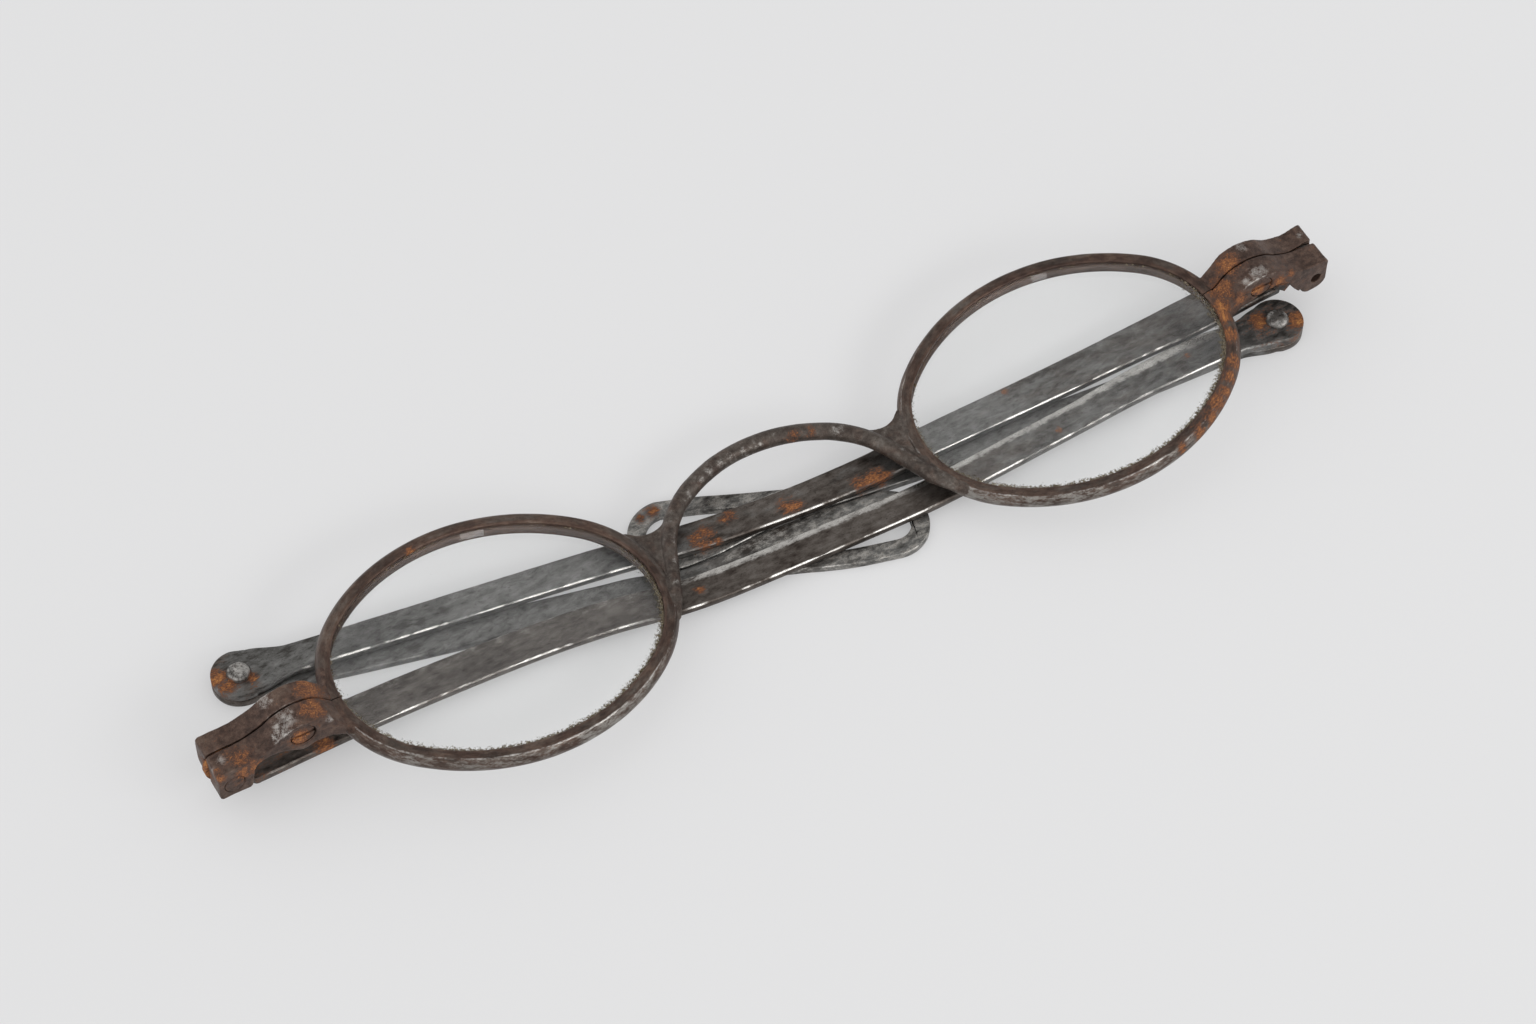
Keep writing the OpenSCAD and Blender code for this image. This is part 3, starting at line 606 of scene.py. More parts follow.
def lens(side):
    """A lens with a bevelled edge and slightly crowned faces"""
    name, steps, rings = SIDE_NAME[side] + "_lens", LENS_STEPS, LENS_RINGS
    centre, angle, rad = (q[:-1] for q in oval_at(0, 2 * pi, steps + 1))

    def ring(u, z):
        return round_oval(centre, (rad + u)[:, None], angle[:, None], np.full((steps, 1), z))

    lip = -RIM_W - LENS_GAP
    faces_up_down = []
    for s in (1, -1):
        face = [ring(lip, s * LENS_HALF_T)]
        for k in range(1, rings):
            t = 1 - (k / rings) ** 1.9
            face.append(ring(lip, 0) * (t, t, 1) + (0, 0, s * (LENS_HALF_T + LENS_CROWN * (1 - t * t))))
        faces_up_down.append(face)
    upper, lower = faces_up_down
    loops = upper[::-1] + [ring(lip + GROOVE_D, 0.0)] + lower
    p = cat(loops)
    faces = ring_faces(len(loops), steps)
    n = len(p)
    crown = LENS_HALF_T + LENS_CROWN
    p = cat([p, [(0, 0, crown), (0, 0, -crown)]])
    last = (len(loops) - 1) * steps
    for j in range(steps):
        k = (j + 1) % steps
        faces += [(n, j, k), (n + 1, last + k, last + j)]
    me = clean(new_mesh(name, on_eye(p, side), faces))

    # The dirt's attribute: 1 at the wire, 0 from DIRT_REACH on, and more towards the chin
    from_lip = np.maximum(np.abs(np.arange(len(loops)) - rings) - 1, 0) / rings
    edge = clip01(1 - EYE_H / 2 * from_lip ** 1.9 / DIRT_REACH)
    edge, around = (cat([q, [0, 0]]) for q in (np.repeat(edge, steps), np.tile(angle, len(loops))))
    set_attribute(me, "edge", edge * clip01(0.6 - 0.4 * np.sin(around)))
    set_flow(me, points_of(me))
    piece(name + "_ground", me, "front", [name], GLASS, 30)


def ball():
    """A small round blank of 42 points"""
    bm = bmesh.new()
    bmesh.ops.create_icosphere(bm, subdivisions=2, radius=1.0)
    bm.verts.ensure_lookup_table()
    out = np.array([v.co[:] for v in bm.verts]), [tuple(v.index for v in f.verts) for f in bm.faces]
    bm.free()
    return out


def crust(side, thick):
    """Old crust in lumps inside an eye wire, thickest at the places in thick: angle, reach, force"""
    rng = np.random.default_rng(5 + side)
    blank, faces = ball()
    parts = []
    fine = np.radians(np.arange(0, 360, 0.25))
    chance = 0.10 + 0.25 * clip01(-np.sin(fine)) + 0.5 * clip01(noise1(fine * 9, 70 + side))
    for at, width, force in thick:
        chance += force * np.exp(-((np.degrees(fine) - at) / width) ** 2)
    chance /= chance.sum()
    for k in range(CRUST_LUMPS):
        a = rng.choice(fine, p=chance)
        centre, _, rad = oval_at(a, a + 1e-3, 2)
        size = 0.035 + 0.085 * rng.random() ** 2.5
        r = rad[0] + (-RIM_W + 0.02 - rng.random() ** 2 * 0.12)
        c = np.array([centre[0, 0] + r * cos(a), centre[0, 1] + r * sin(a), 0.52 + size * 0.35])
        shape = blank * (size * (0.7 + rng.random(3) * 0.8))
        shape = shape * (1 + 0.3 * noise(blank * 1.7 + k, 80)[:, None])
        parts.append((on_eye(shape + c, side), faces))
    v, f = join_meshes(parts)
    me = clean(new_mesh(SIDE_NAME[side] + "_rim_crust", v, f))
    set_flow(me, v)
    piece(SIDE_NAME[side] + "_rim_crust", me, "front", [], CRUST, 0)


def closed(p, faces):
    """Cleaned points and faces"""
    me = clean(new_mesh("part", p, faces), 1e-5)
    out = points_of(me), faces_of(me)
    bpy.data.meshes.remove(me)
    return out


# How much fuller a sleeve is than the wire, and how far its ends sink into it
SLEEVE_GROW, SLEEVE_SINK = 0.02, 0.05


def rim_sleeve(side, first, last, steps=60):
    """A closed length of the eye wire's outer part, a little fuller, to blend what is brazed to it"""
    centre, angle, rad = oval_at(radians(first), radians(last), steps)
    prof = cat([[(-0.9, 0.9)], RIM_OUTER, (RIM_OUTER * (1, -1))[::-1], [(-0.9, -0.9)]])
    fade = np.minimum(np.linspace(0, 1, steps), np.linspace(1, 0, steps)) * 6
    g = np.where(fade < 1, -SLEEVE_SINK + (SLEEVE_GROW + SLEEVE_SINK) * fade, SLEEVE_GROW)[:, None]
    away = unit(prof - (-0.7, 0))
    u, w = prof[:, 0] + away[:, 0] * g, prof[:, 1] + away[:, 1] * g
    *sides, start, end = bar_faces(steps, len(prof))
    p = round_oval(centre, rad[:, None] + u, angle[:, None], w)
    return closed(on_eye(p, side), sides + [start[::-1], end])


def tube(path, radii, segments=24):
    """A closed round bar along a path in 3-D"""
    t = unit(np.gradient(path, axis=0))
    a = unit(np.cross(t, (0.0, 0.0, 1.0)))
    b = np.cross(a, t)
    q = np.linspace(0, 2 * pi, segments, endpoint=False)[None, :, None]
    p = path[:, None] + radii[:, None, None] * (a[:, None] * np.cos(q) + b[:, None] * np.sin(q))
    return closed(p.reshape(-1, 3), bar_faces(len(path), segments))


def slab(outline, low, high):
    """A closed flat plate with that plan outline"""
    p = np.asarray(outline, float)
    n = len(p)
    v = cat([np.c_[p, np.full(n, low)], np.c_[p, np.full(n, high)]])
    faces = [tuple(range(n))[::-1], tuple(range(n, 2 * n))]
    faces += [(i, (i + 1) % n, n + (i + 1) % n, n + i) for i in range(n)]
    return closed(v, faces)


# Bridge
CROWN_HALF, LEG_HEADING, LEG_LEN, TAPER_AT = radians(28), radians(68), 7.3, 4.7
CROWN_STEPS, SHOULDER_STEPS, LEG_STEPS = 24, 30, 30
# The bridge wire's width at the crown, at the shoulder and on the leg
BRIDGE_WIDTHS = {LEFT: (1.7, 1.5, 1.25), RIGHT: (1.7, 1.6, 1.5)}
# Outline of the flat web between the leg and the eye wire, from the leg's start
WEB_HOLLOW = [(-1.9, 4.0), (-1.25, 3.36), (-0.35, 2.88), (0.7, 2.72), (1.65, 2.98), (2.25, 3.45), (2.65, 3.8)]
WEB_REST = [(3.4, 3.7), (2.3, -0.4), (2.1, -3.2), (1.2, -3.4), (0, 0)]


def arc(centre, r, angles):
    """Points on an arc, at angles from Y towards X"""
    return np.c_[centre[0] + r * np.sin(angles), centre[1] + r * np.cos(angles)]


def bridge():
    """The bent wire with its two webs, blended into both eye wires"""
    leg_x = LENS_CENTRES / 2 - EYE_W / 2 - LEG_ROOM
    crown_r = SHOULDER_R + (leg_x - SHOULDER_R * sin(LEG_HEADING)) / sin(CROWN_HALF)
    middle, z = (0, BRIDGE_RISE - crown_r), FRONT_Z - BRIDGE_DROP
    crown = arc(middle, crown_r, np.linspace(0, CROWN_HALF, CROWN_STEPS))
    shoulder = arc(middle, crown_r - SHOULDER_R, CROWN_HALF)[0]
    shoulder = arc(shoulder, SHOULDER_R, np.linspace(CROWN_HALF, LEG_HEADING, SHOULDER_STEPS)[1:])
    leg = shoulder[-1]
    down = (cos(LEG_HEADING), -sin(LEG_HEADING))
    half = cat([crown, shoulder, leg + np.linspace(0, LEG_LEN, LEG_STEPS)[1:, None] * down])
    run = cat([[0], np.cumsum(np.linalg.norm(np.diff(half, axis=0), axis=1))])
    crown_run, leg_run = run[CROWN_STEPS - 1], run[CROWN_STEPS + SHOULDER_STEPS - 2]
    parts = []
    for side, (d_crown, d_shoulder, d_leg) in BRIDGE_WIDTHS.items():
        d = np.interp(run, [0, crown_run, leg_run, leg_run + TAPER_AT, leg_run + LEG_LEN],
                      [d_crown, d_crown, d_shoulder, d_leg, 0.4])
        path = np.c_[side * half[:, 0], half[:, 1], np.full(len(half), z)]
        if side == LEFT:
            path[:, 0] -= 0.12 * clip01((run - crown_run) / 6)
        # Each half starts a little beyond the middle, so that they overlap
        first = np.array([[-side * 0.3, BRIDGE_RISE, z]])
        parts.append(tube(cat([first, path]), cat([[d_crown], d]) / 2))
        web = cat([[(-2.1, 3.5)], smooth_curve(WEB_HOLLOW, 6), WEB_REST]) + leg
        parts.append(slab(web * (side, 1), z - 0.5, z + 0.22))
        parts.append(rim_sleeve(side, 146, 224))
    me = forged(parts, voxel=0.075, rounds=9, rough=0.02, seed=5.0, grain=0.8)
    add_wear_and_highlight(me, 12, 3.0)
    weather(me, tone=0.35, rust=0.05, side=0.22, rust_gain=0.7)
    piece("bridge_wire", me, "front", ["bridge"], PATINA, 0)


# Lugs
def lug(side, half):
    """Half a lug, blended into its eye wire"""
    node = SIDE_NAME[side] + "_lug_" + half
    turn = degrees(asin(SPLIT[side] / END_R))
    first, last = (turn + 0.4, turn + 22) if half == "brow" else (turn - 24, turn - 0.4)
    parts = [node_mesh(node), rim_sleeve(side, first, last, steps=30)]
    if side == RIGHT and half == "chin":
        # A fuller lip below the screw's recess
        q = np.radians(np.linspace(195, 345, 24))
        bow = np.c_[np.cos(q), np.sin(q)]
        v, f = slab(cat([bow * 1.5, bow[::-1] * 1.2]), -0.85, 1.55)
        parts.append((np.c_[v[:, 0] + 50.15, v[:, 2], v[:, 1] + 7.1], f))
    me = forged(parts, voxel=0.07, rounds=6, rough=0.035, seed=9.0 + side, grain=0.7)
    # The lugs' raised edges and creases are lightened strongly: worn iron and painted highlights
    add_wear_and_highlight(me, 10, 9.0)
    weather(me, tone=0.8, rust=0.2, rust_gain=0.8, wear_and_highlight_gain=0.62)
    piece(node + "_forged", me, "front", [node], PATINA, 0)


# Strips
HOLE_CUT, STRIP_COLS = 0.1, 7
# Bevels, in shares of their width: (inward, downward) at the top edges, (inward, upward) at the low ones
TOP_BEVEL = [(0.86, 0.04), (0.06, 0.92), (0.0, 1.06)]
LOW_BEVEL = [(0.0, 1.0), (0.3, 0.3), (1.0, 0.0)]


def edge_normals(centre, side, half_w, sign):
    """Plan normals of the left and the right edge of a strip, away from its middle, times sign"""
    loop = cat([centre + side * half_w[:, None], (centre - side * half_w[:, None])[::-1]])
    t = np.roll(loop, -1, 0) - np.roll(loop, 1, 0)
    t /= np.maximum(np.linalg.norm(t, axis=1), 1e-9)[:, None]
    normals = np.stack([-t[:, 1], t[:, 0]], 1)
    outward = np.sign((normals * cat([side, -side[::-1]])).sum(1))
    outward[outward == 0] = 1
    normals = normals * outward[:, None] * sign
    return normals[:len(side)], normals[len(side):][::-1]


def strip(name, s, centre, side, outer, hole, top, low, cuts, under=0.12):
    """A flat bar. s are stations, centre and side their plan points and side directions, outer and hole half
    widths, below 0 for no hole, top and low heights, cuts the top bevels' widths and under the low bevels'"""
    n = len(s)
    hole, top, low, *cuts = (np.zeros(n) + q for q in (hole, top, low, *cuts))
    along = unit(np.gradient(centre, axis=0))
    at_start, at_end = ((outer < 1e-6) & q for q in (s < s.mean(), s > s.mean()))
    inward = edge_normals(centre, side, outer, -1)
    open_at = hole >= 0
    hole_w = np.maximum(hole, 0)
    from_hole = edge_normals(centre, side, hole_w, 1)
    hole_starts, hole_stops = (open_at & ~np.roll(open_at, k) for k in (1, -1))
    for q in inward:
        q[at_start], q[at_end] = along[at_start], -along[at_end]
    for q in from_hole:
        q[hole_starts], q[hole_stops] = -along[hole_starts], along[hole_stops]
    edges = [centre + k * side * outer[:, None] for k in (1, -1)]
    top_in = [edge + q * cut[:, None] for edge, q, cut in zip(edges, inward, cuts)]
    low_in = [edge + q * under for edge, q in zip(edges, inward)]
    shares = [k / (STRIP_COLS - 1) for k in range(STRIP_COLS)]
    verts, faces, wears, count = [], [], [], 0
    for h, (k, edge, q, cut, away) in enumerate(zip((1, -1), edges, inward, cuts, from_hole)):
        inner = centre + k * side * hole_w[:, None]
        from_top, from_low = (np.where(open_at[:, None], inner + away * HOLE_CUT, (a + b) / 2)
                              for a, b in (top_in, low_in))
        # Rows along the bar, as plan points, height and wear
        rows = [(from_top * (1 - t) + top_in[h] * t, top, 0.5 if t == 1 else 0.0) for t in shares]
        rows += [(edge + q * (cut * a)[:, None], top - cut * b, 1.0 if b < 1 else 0.3) for a, b in TOP_BEVEL]
        rows += [(edge + q * under * a, low + under * b, 0.0) for a, b in LOW_BEVEL]
        rows += [(low_in[h] * (1 - t) + from_low * t, low, 0.0) for t in shares]
        skin = len(rows) - 1
        rows += [(inner + away * 0.03, low + 0.03, 0.0), (inner, low + 0.1, 0.0), (inner, top - 0.1, 0.3),
                 (inner + away * 0.03, top - 0.03, 0.8)]
        m = len(rows)
        verts.append(np.stack([np.c_[plan, z] for plan, z, _ in rows], 1).reshape(-1, 3))
        wears.append(np.tile([wear_and_highlight for _, _, wear_and_highlight in rows], n))
        for i in range(n - 1):
            a, b = count + i * m, count + (i + 1) * m
            faces += [(a + j, a + j + 1, b + j + 1, b + j) for j in range(skin)]
            if open_at[i] and open_at[i + 1]:
                faces += [(a + j, a + (j + 1) % m, b + (j + 1) % m, b + j) for j in range(skin, m)]
        count += n * m
    me = new_mesh(name, cat(verts), faces)
    set_attribute(me, "wear_and_highlight", cat(wears))
    return clean(me, 2e-4, 1e-5)


def stations(*marks):
    """Stations between marks, each mark being (place, step to the next one)"""
    out = []
    for (a, step), (b, _) in zip(marks, marks[1:]):
        k = max(1, int(round((b - a) / step)))
        out += list(np.linspace(a, b, k, endpoint=False))
    return np.array(out + [marks[-1][0]])


EYE_HALF = sqrt(EYE_R ** 2 - 1) - 0.06
# How far each temple bows sideways, as [share of its length, offset]
LEFT_BOW = [(0, 0), (0.13, 0.55), (0.26, 0.34), (0.34, -0.38), (0.39, -1.3), (0.45, -1.95),
            (0.59, -2.2), (0.66, -2.02), (0.78, -1.0), (0.87, -0.25), (1, 0)]
RIGHT_BOW = [(0, 0), (0.05, -0.35), (0.12, -1.1), (0.23, -2.2), (0.37, -3.3), (0.45, -4.05),
             (0.52, -4.2), (0.6, -3.85), (0.68, -2.85), (0.8, -1.8), (0.9, -0.95), (1, 0)]


def flare(d):
    """Share by which a strip widens at the distance d from its turn pin"""
    return (1 + np.cos(pi * np.clip(d - 1.0, 0, 4.0) / 4.0)) / 2


def round_end(centre_s, radius, sign, count):
    """Stations round a disc's quarter"""
    return centre_s + sign * radius * np.sin(np.linspace(0, pi / 2, count))


def disc_half(s, radius):
    """Half width of a disc at the distance s from its centre"""
    return np.sqrt(np.maximum(radius ** 2 - s ** 2, 0))


def side_directions(v_dir, w_dir, slopes):
    """Sideways directions of a strip along w_dir that bends by slopes towards v_dir"""
    return unit(v_dir[None] - slopes[:, None] * w_dir)


def broken(s, seed, base, deep=0.55, pitch=0.35):
    """Width of a worn edge: even in places, all but gone in others"""
    a = noise1(s * pitch, seed) + 0.5 * noise1(s * pitch * 3.1, seed + 1)
    return base * (1 - deep * clip01(a * 1.3 - 0.1)) * (1 + 0.1 * noise1(s * 2.3, seed + 2))


ROOT_CORNER, NECK_SHARE = 0.5, 0.55


def temple_strip(side, hinge, head, bow, length):
    """The temple's strip without its tongue, from the root to the eye round the turn pin"""
    w_dir = heading(head)
    v_dir = to_left(w_dir) * -side
    curve = smooth_curve([(a * length, b) for a, b in bow], 16)
    slope = bow[-2][1] / (length * (1 - bow[-2][0]))
    curve = cat([curve[curve[:, 0] < length - 8], [(length - 5, slope * 5), (length, 0), (length + 4, 0)]])
    main = stations((ROOT_START + 0.05, 0.1), (ROOT_START + 0.7, 0.35), (length - 6, 0.2), (length, 0.2))
    s = cat([[ROOT_START, ROOT_START + 1e-3], main[:-1], round_end(length, EYE_R, 1, 22)])
    off = np.interp(s, curve[:, 0], curve[:, 1])
    even = np.convolve(np.pad(off, 4, mode="edge"), np.ones(9) / 9, "valid")
    off = np.where(s > length - 12, off, even)
    centre = hinge + s[:, None] * w_dir + off[:, None] * v_dir
    slopes = np.gradient(off, s)
    slopes[s > length - 1] = 0
    side_v = side_directions(v_dir, w_dir, slopes)

    plain_w = STRIP_W_ROOT + (STRIP_W_NECK - STRIP_W_ROOT) * np.minimum(s / length / NECK_SHARE, 1)
    half = plain_w / 2 + (EYE_HALF - plain_w / 2) * flare(length - s)
    disc = disc_half(s - length, EYE_R)
    half = np.where(s > length - 1, disc, np.maximum(half, disc * (s > length - EYE_R)))
    # Each strip is fuller on one side: the left one before its eye, the right one near its root
    if side == LEFT:
        full = 0.26 * clip01((22 - (length - s)) / 11) * clip01((length - s - 3) / 4)
    else:
        full = 0.16 * np.exp(-((s - 11) / 6) ** 2)
    centre, half = centre - side * side_v * full[:, None], half + full
    near = np.clip(ROOT_CORNER - (s - ROOT_START), 0, ROOT_CORNER)
    half = half - (ROOT_CORNER - disc_half(near, ROOT_CORNER))
    half[[0, -1]] = 0
    climb = ROOT_RISE * (1 - np.minimum(s, RISE_LEN) / RISE_LEN) ** 2
    seed = 21 + side
    cuts = broken(s, seed + 3, 0.09), broken(s, seed + 9, 0.16, 0.8, 0.5)
    me = strip("bare_strip", s, centre, side_v, half, -1, STRIP_Z + STRIP_T + climb, STRIP_Z + climb, cuts)

    co = points_of(me)
    along = (co[:, :2] - hinge) @ w_dir
    scuffed = 0.8 + 0.9 * noise1(along * 0.42, seed) + 0.7 * noise1(along * 1.3, seed + 4)
    ends = np.clip((length - 3.5 - along) / 3, 0.05, 1)
    # Near the root the worn edges fade: on the right strip to nothing, as painted shade under its lug; on the
    # left one to about half
    ends = ends * np.clip((along - 9) / 3, 0.0 if side == RIGHT else 0.55, 1)
    wear_and_highlight = read_attribute(me, "wear_and_highlight") * np.clip(scuffed, 0.1, 0.92) * ends
    if side == LEFT:
        # A paler band along the brow side of the top
        across = (co[:, :2] - hinge) @ v_dir - np.interp(along, s, off)
        share = across / np.maximum(np.interp(along, s, half), 0.1)
        band = clip01((share - 0.35) / 0.35) * (co[:, 2] > STRIP_Z + STRIP_T - 0.1) * ends
        wear_and_highlight = np.maximum(wear_and_highlight, 0.85 * band * np.clip((along - 40) / 8, 0.45, 1))
    set_attribute(me, "wear_and_highlight", wear_and_highlight)
    return me


def tongue(side, hinge_x, y):
    """The disc round the hinge pin and its neck, standing in a lengthwise plane"""
    neck = np.array([-side * 2.35, -2.7])
    length = float(np.linalg.norm(neck))
    w_dir = neck / length
    r = HINGE_PIN_D / 2 + TURN_GAP
    main = stations((0.06, 0.12), (length, 0.12), (length + 0.001, 1))
    s = np.unique(cat([round_end(0, TONGUE_R, -1, 14), main, round_end(0, r, 1, 9), round_end(0, r, -1, 9)]))
    half = np.maximum(disc_half(s, TONGUE_R), np.where(s > 0.9, 0.86, 0))
    half[[0, -1]] = 0
    hole = np.where(np.abs(s) <= r + 1e-9, disc_half(s, r), -1.0)
    centre = np.array([hinge_x, HINGE_Z]) + s[:, None] * w_dir
    side_v = np.tile(to_left(w_dir), (len(s), 1))
    me = strip("tongue", s, centre, side_v, half, hole, TONGUE_T / 2, -TONGUE_T / 2, (0.08, 0.08), 0.08)
    co = points_of(me)
    return np.stack([co[:, 0], y + co[:, 2], co[:, 1]], 1), faces_of(me)


def temple(side, hinge, head, bow, length, tongue_y):
    """A temple: its strip and its tongue in one piece"""
    node = SIDE_NAME[side] + "_temple"
    flat = temple_strip(side, hinge, head, bow, length)
    v, f = tongue(side, hinge[0], tongue_y)
    co, faces = join_meshes([(points_of(flat), faces_of(flat)), (v, f)])
    me = clean(new_mesh(node + "_strip", co, faces))
    set_attribute(me, "wear_and_highlight", cat([read_attribute(flat, "wear_and_highlight"), np.full(len(v), 0.1)]))
    x = co[:, 0]
    if side == RIGHT:
        tone = 0.12 + 0.62 * np.exp(-((x - 1) / 13) ** 4) + 0.4 * clip01((x - 17) / 12)
        tone = tone + 0.35 * clip01((-48 - x) / 3)
        rust = 0.3 * clip01((x - 46) / 4) + 0.3 * clip01((-49.5 - x) / 2)
    else:
        tone = 0.92 - 0.5 * clip01((x - 12) / 14) - 0.12 * clip01((x - 45) / 4)
        # Rust near the root, below the lug, is real rust and also darkens the strip there as painted shade
        rust = 0.38 * clip01((-46 - x) / 3) + 0.42 * clip01((x - 46) / 3)
    rust[-len(v):] = 0.6
    weather(me, co * (0.45, 1, 1), tone=tone, rust=rust)
    piece(node + "_strip", me, node, [node], STRIP, 32)


# Edges of the tips, as [distance from the turn pin, edge on the heading's left, edge on its right]
LEFT_TIP_EDGES = [(0, 1.45, -1.45), (10, 2.2, -0.7), (20, 2.66, -0.24), (31.5, 2.85, -0.05),
                  (42, 2.69, -0.25), (48, 2.5, -0.6), (50.5, 2.45, -0.8), (53.3, 2.6, -1.6),
                  (56.2, 3.05, -2.5), (59.1, 3.47, -3.45), (62.4, 3.62, -4.3)]
RIGHT_TIP_EDGES = [(0, 1.5, -1.5), (4, 1.2, -1.7), (9, 0.85, -2.08), (31, 0.88, -2.12),
                   (36, 0.94, -2.12), (38, 0.78, -2.12), (40, 0.56, -2.12), (42, 0.6, -2.12),
                   (44, 0.84, -2.12), (46, 1.3, -2.12), (48, 1.92, -2.15), (50, 2.52, -2.25),
                   (52, 2.93, -2.5), (54, 3.26, -2.85), (57, 3.6, -3.22), (61, 3.98, -3.34)]
HOLE_START = 10.0


def tip(side, pin, head, edges, seed):
    """A tip strip, from its eye round the turn pin to its drop-shaped loop"""
    node = SIDE_NAME[side] + "_tip"
    w_dir = heading(head)
    v_dir = to_left(w_dir)
    pin_r = TURN_PIN_D / 2 + TURN_GAP
    marks = smooth_curve(edges, 8)
    length, loop_r = edges[-1][0], (edges[-1][1] - edges[-1][2]) / 2
    loop_hole_r = loop_r - LOOP_BAND
    hole_at = length - HOLE_START
    s = cat([round_end(0, EYE_R, -1, 22), round_end(0, pin_r, -1, 10), round_end(0, pin_r, 1, 10),
             stations((0.7, 0.2), (6.0, 0.35), (hole_at - 0.35, 0.3), (hole_at - 0.2, 1)),
             hole_at + np.array([0, 0.03, 0.08, 0.16, 0.28, 0.42]),
             stations((hole_at + 0.6, 0.25), (length, 0.2)),
             round_end(length, loop_hole_r, 1, 18), round_end(length, loop_r, 1, 26)])
    s = np.unique(np.round(np.sort(s), 5))
    a, b = (np.interp(s, marks[:, 0], marks[:, k]) for k in (1, 2))
    off, half = (a + b) / 2, (a - b) / 2
    centre = pin + s[:, None] * w_dir + off[:, None] * v_dir
    slopes = np.gradient(off, s)
    slopes[(s < 0) | (s > length)] = 0
    ease = clip01(s / 6) * clip01((length - s) / 6)
    side_v = side_directions(v_dir, w_dir, slopes * ease)

    band = half - LOOP_BAND
    half = half + (EYE_HALF - half) * flare(s)
    disc = disc_half(s, EYE_R)
    half = np.where(s < 1, disc, np.maximum(half, disc))
    half = np.where(s > length, disc_half(s - length, loop_r), half)
    half[[0, -1]] = 0
    gap = np.minimum(band, np.sqrt(np.maximum(s - hole_at, 0)))
    gap = np.where(s > length, disc_half(s - length, loop_hole_r), gap)
    in_loop = (s >= hole_at - 1e-4) & (s <= length + loop_hole_r + 1e-4)
    hole = np.where(in_loop, np.maximum(gap, 0), -1.0)
    hole = np.where(np.abs(s) <= pin_r + 1e-4, disc_half(s, pin_r), hole)
    cuts = broken(s, seed, 0.1), broken(s, seed + 6, 0.1)
    me = strip(node + "_plate", s, centre, side_v, half, hole, TIP_T, 0, cuts)

    co = points_of(me)
    along = (co[:, :2] - pin) @ w_dir
    scuffed = clip01(0.35 + 0.6 * noise1(along * 0.35, seed + 50) + 0.3 * noise1(along * 1.5, seed + 53))
    set_attribute(me, "wear_and_highlight", read_attribute(me, "wear_and_highlight") * scuffed * np.clip((along - 3) / 3, 0.05, 1))
    loop = clip01((along - length + 21) / 7)
    tone = 0.1 + 0.2 * np.exp(-((along - 0.75 * length) / 12) ** 4)
    tone = tone + 0.7 * clip01((4 - along) / 3) + 0.15 * loop
    weather(me, co * (0.5, 1, 1), tone=tone, side=0.55 * loop)
    piece(node + "_plate", me, node, [node], STRIP, 32)


# Screws and pins
def lathe(profile, segments=64):
    """A closed turned solid about Z from (radius, height) pairs"""
    p = np.asarray(profile, float)
    q = np.linspace(0, 2 * pi, segments, endpoint=False)
    v = np.stack([p[:, None, 0] * np.cos(q), p[:, None, 0] * np.sin(q),
                  np.repeat(p[:, 1, None], segments, 1)], 2).reshape(-1, 3)
    return closed(v, bar_faces(len(p), segments))


def turn_pin(side, pin):
    """A rivet with a hammered dome on the temple and a flat head in the tip"""
    node = SIDE_NAME[side] + "_turn_pin"
    top = STRIP_Z + STRIP_T
    r, shank = TURN_HEAD_D / 2, TURN_PIN_D / 2
    dome = [(r * cos(a) ** 0.8, top + TURN_HEAD_H * sin(a)) for a in np.linspace(0.12, pi / 2 - 0.02, 14)]
    v, f = lathe([(0.955, 0.02), (0.955, 0.05), (shank + 0.02, 0.37), (shank, 0.4), (shank, top + 0.02),
                  (r - 0.02, top + 0.005)] + dome)
    me = clean(new_mesh(node + "_domed", v + (*pin, 0), f), 1e-5)
    co = points_of(me)
    height = co[:, 2] - top
    dents = fbm(co * 2.2, 31 + pin[0]) * 0.04 * (height > 0.05)
    put_points(me, co - np.abs(dents)[:, None] * (0, 0, 1))
    set_attribute(me, "wear_and_highlight", np.clip((height - 0.05) * 2.2, 0, 0.6))
    weather(me, tone=0.5, rust=np.clip(0.35 - height, 0, 0.35))
    piece(node + "_domed", me, SIDE_NAME[side] + "_temple", [node], PIN, 40)


def small_part(node):
    """A screw or hinge pin with its edges worn round"""
    me = forged([node_mesh(node)], voxel=0.045, rounds=3, rough=0.02, seed=13.0, grain=3.0)
    add_wear_and_highlight(me, 8, 4.0)
    weather(me, tone=0.9, rust=0.22)
    piece(node + "_worked", me, "front", [node], PATINA, 0)


for make in (rim, lens):
    make(LEFT)
    make(RIGHT)
crust(LEFT, [(262, 6, 2.0), (272, 5, 1.5), (285, 4, 1.0), (318, 10, 0.8)])
crust(RIGHT, [(250, 8, 0.6), (290, 10, 0.6), (325, 12, 1.0)])
bridge()
for side in (LEFT, RIGHT):
    for half in ("brow", "chin"):
        lug(side, half)
temple(LEFT, LEFT_HINGE, LEFT_HEAD, LEFT_BOW, LEFT_LEN, 0.1)
temple(RIGHT, RIGHT_HINGE, RIGHT_HEAD, RIGHT_BOW, RIGHT_LEN, 0.925)
tip(LEFT, LEFT_PIN, LEFT_TIP_HEAD, LEFT_TIP_EDGES, 42)
tip(RIGHT, RIGHT_PIN, RIGHT_TIP_HEAD, RIGHT_TIP_EDGES, 40)
turn_pin(LEFT, LEFT_PIN)
turn_pin(RIGHT, RIGHT_PIN)
for node in ("left_closing_screw", "right_closing_screw", "left_hinge_pin", "right_hinge_pin"):
    small_part(node)

# Floor, light and camera
FLOOR_DROP, FLOOR_GLOW, LAMP_DISTANCE = 1e-5, 0.4, 0.8
corners = [(x, y, -FLOOR_DROP) for x, y in ((-2, -2), (2, -2), (2, 2), (-2, 2))]
floor = new_mesh("floor", corners, [(0, 1, 2, 3)])
table = bpy.data.objects.new("floor", floor)
put(table)
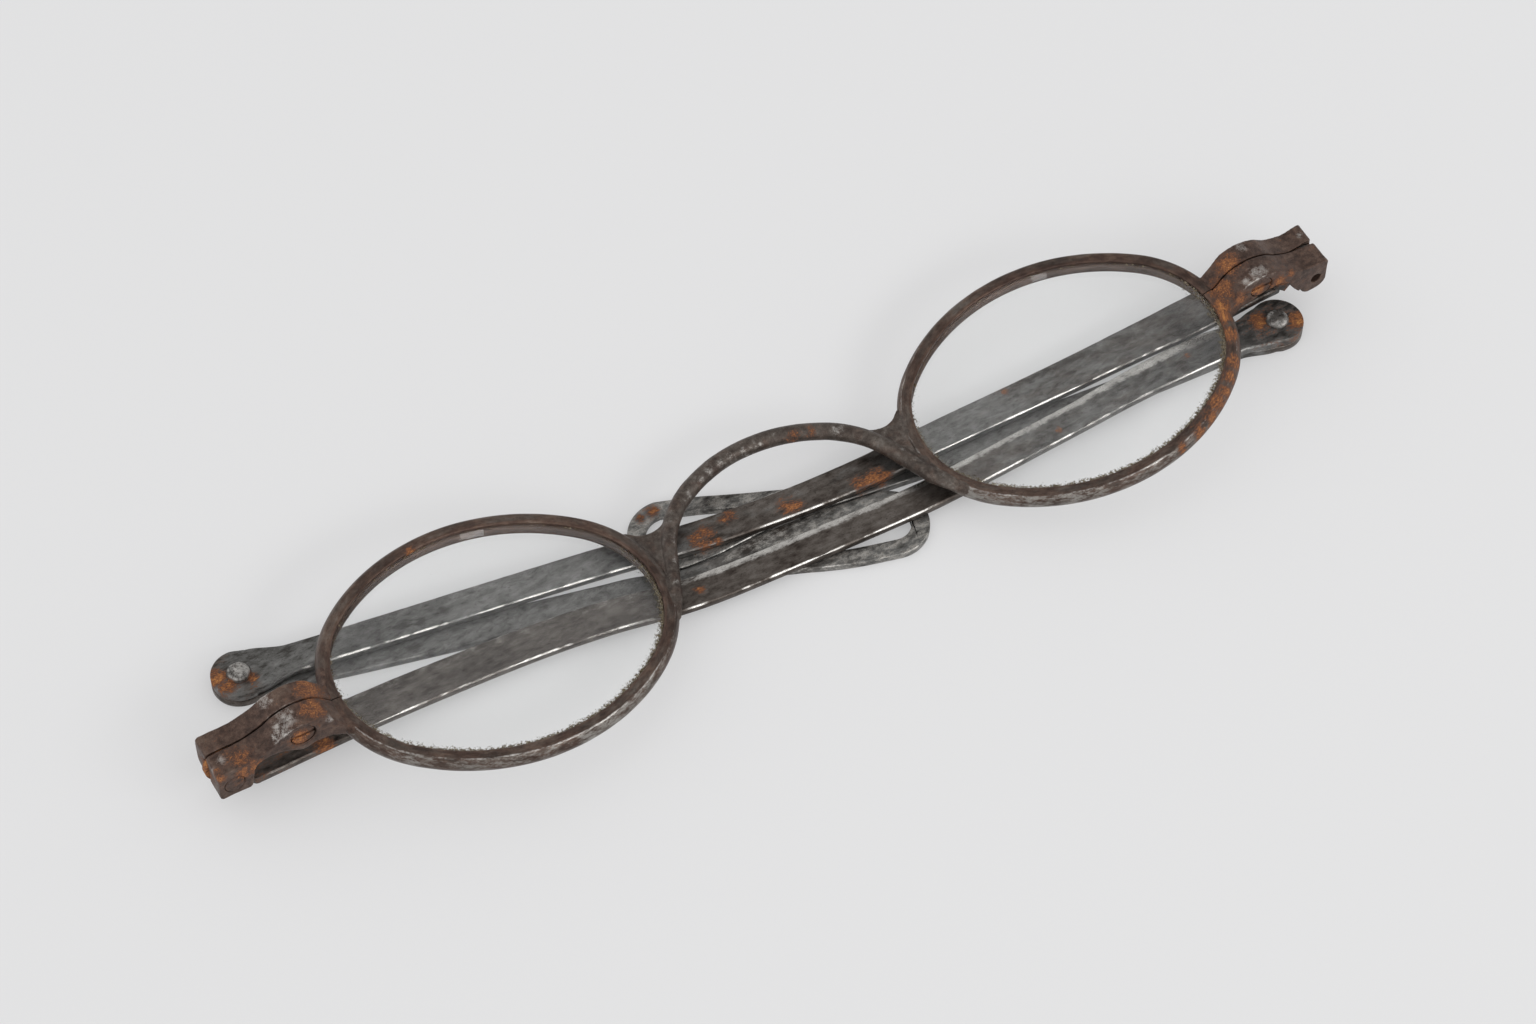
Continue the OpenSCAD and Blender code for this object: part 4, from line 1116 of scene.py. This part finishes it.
# The camera, metal and glass see the floor a little paler than the lamps alone make it
pale, t = make_material("pale_floor")
matt = add(t, "ShaderNodeBsdfDiffuse", Color=(0.79, 0.79, 0.795, 1))
glow = add(t, "ShaderNodeEmission", Color=(0.785, 0.785, 0.79, 1))
path = add(t, "ShaderNodeLightPath").outputs
seen = calc(t, "MAXIMUM", path["Is Camera Ray"], path["Is Glossy Ray"])
seen = calc(t, "MAXIMUM", seen, path["Is Transmission Ray"])
show(t, mix_shader(t, times(t, seen, FLOOR_GLOW), matt, glow))
floor.materials.append(pale)

# A white studio that is darker where the lit strips mirror it
world = bpy.data.worlds.new("studio")
scene.world = world
world.use_nodes = True
t = world.node_tree
sky = t.nodes["Background"]
ray = add(t, "ShaderNodeTexCoord").outputs["Generated"]
ahead = add(t, "ShaderNodeVectorMath", {"operation": "DOT_PRODUCT"}, _0=ray, _1=(0.30, 0.51, 0.81))
dim = step_mask(t, ahead.outputs["Value"], 0.35, 0.98)
t.links.new(mix_value(t, dim, 1.02, 0.55), sky.inputs[1])
sky.inputs[0].default_value = (1, 1, 1, 1)


def stand(name, data, axes, place):
    """An object at a place, with its axes as the columns of axes"""
    ob = bpy.data.objects.new(name, data)
    put(ob)
    ob.matrix_world = Matrix([(*axes[i], place[i]) for i in range(3)] + [(0, 0, 0, 1)])
    return ob


def lamp(name, kind, toward, strength, **settings):
    """A lamp that shines from the direction toward"""
    data = bpy.data.lights.new(name, kind)
    data.energy = strength
    for k, v in settings.items():
        setattr(data, k, v)
    d = unit(np.array(toward, float))
    x = unit(np.cross((0, 0, 1), d))
    return stand(name, data, np.stack([x, np.cross(d, x), d], 1), d * LAMP_DISTANCE)


lamp("key", "SUN", (-0.25, 0.55, 0.80), 0.2, angle=radians(80))
lamp("low_strip", "AREA", (0.30, -0.80, 0.50), 1.25, shape="RECTANGLE", size=0.62, size_y=0.15)

# The photo's angle, in millimetres and degrees
TARGET, DISTANCE = np.array([-2.13, 0.38, 4.3]), 387.87
az, el, roll = (radians(a) for a in (-30.57, 53.78, 0.85))
back = np.array([sin(az) * cos(el), -cos(az) * cos(el), sin(el)])
right = unit(np.cross((0, 0, 1), back))
up = np.cross(back, right)
right, up = right * cos(roll) + up * sin(roll), up * cos(roll) - right * sin(roll)
cam = bpy.data.cameras.new("camera")
cam.lens, cam.sensor_width, cam.sensor_fit = 100.0, 36.0, "HORIZONTAL"
cam.clip_start, cam.clip_end = 0.01, 10
scene.camera = stand("camera", cam, np.stack([right, up, back], 1), (TARGET + back * DISTANCE) * MM)
scene.view_settings.view_transform = "Standard"
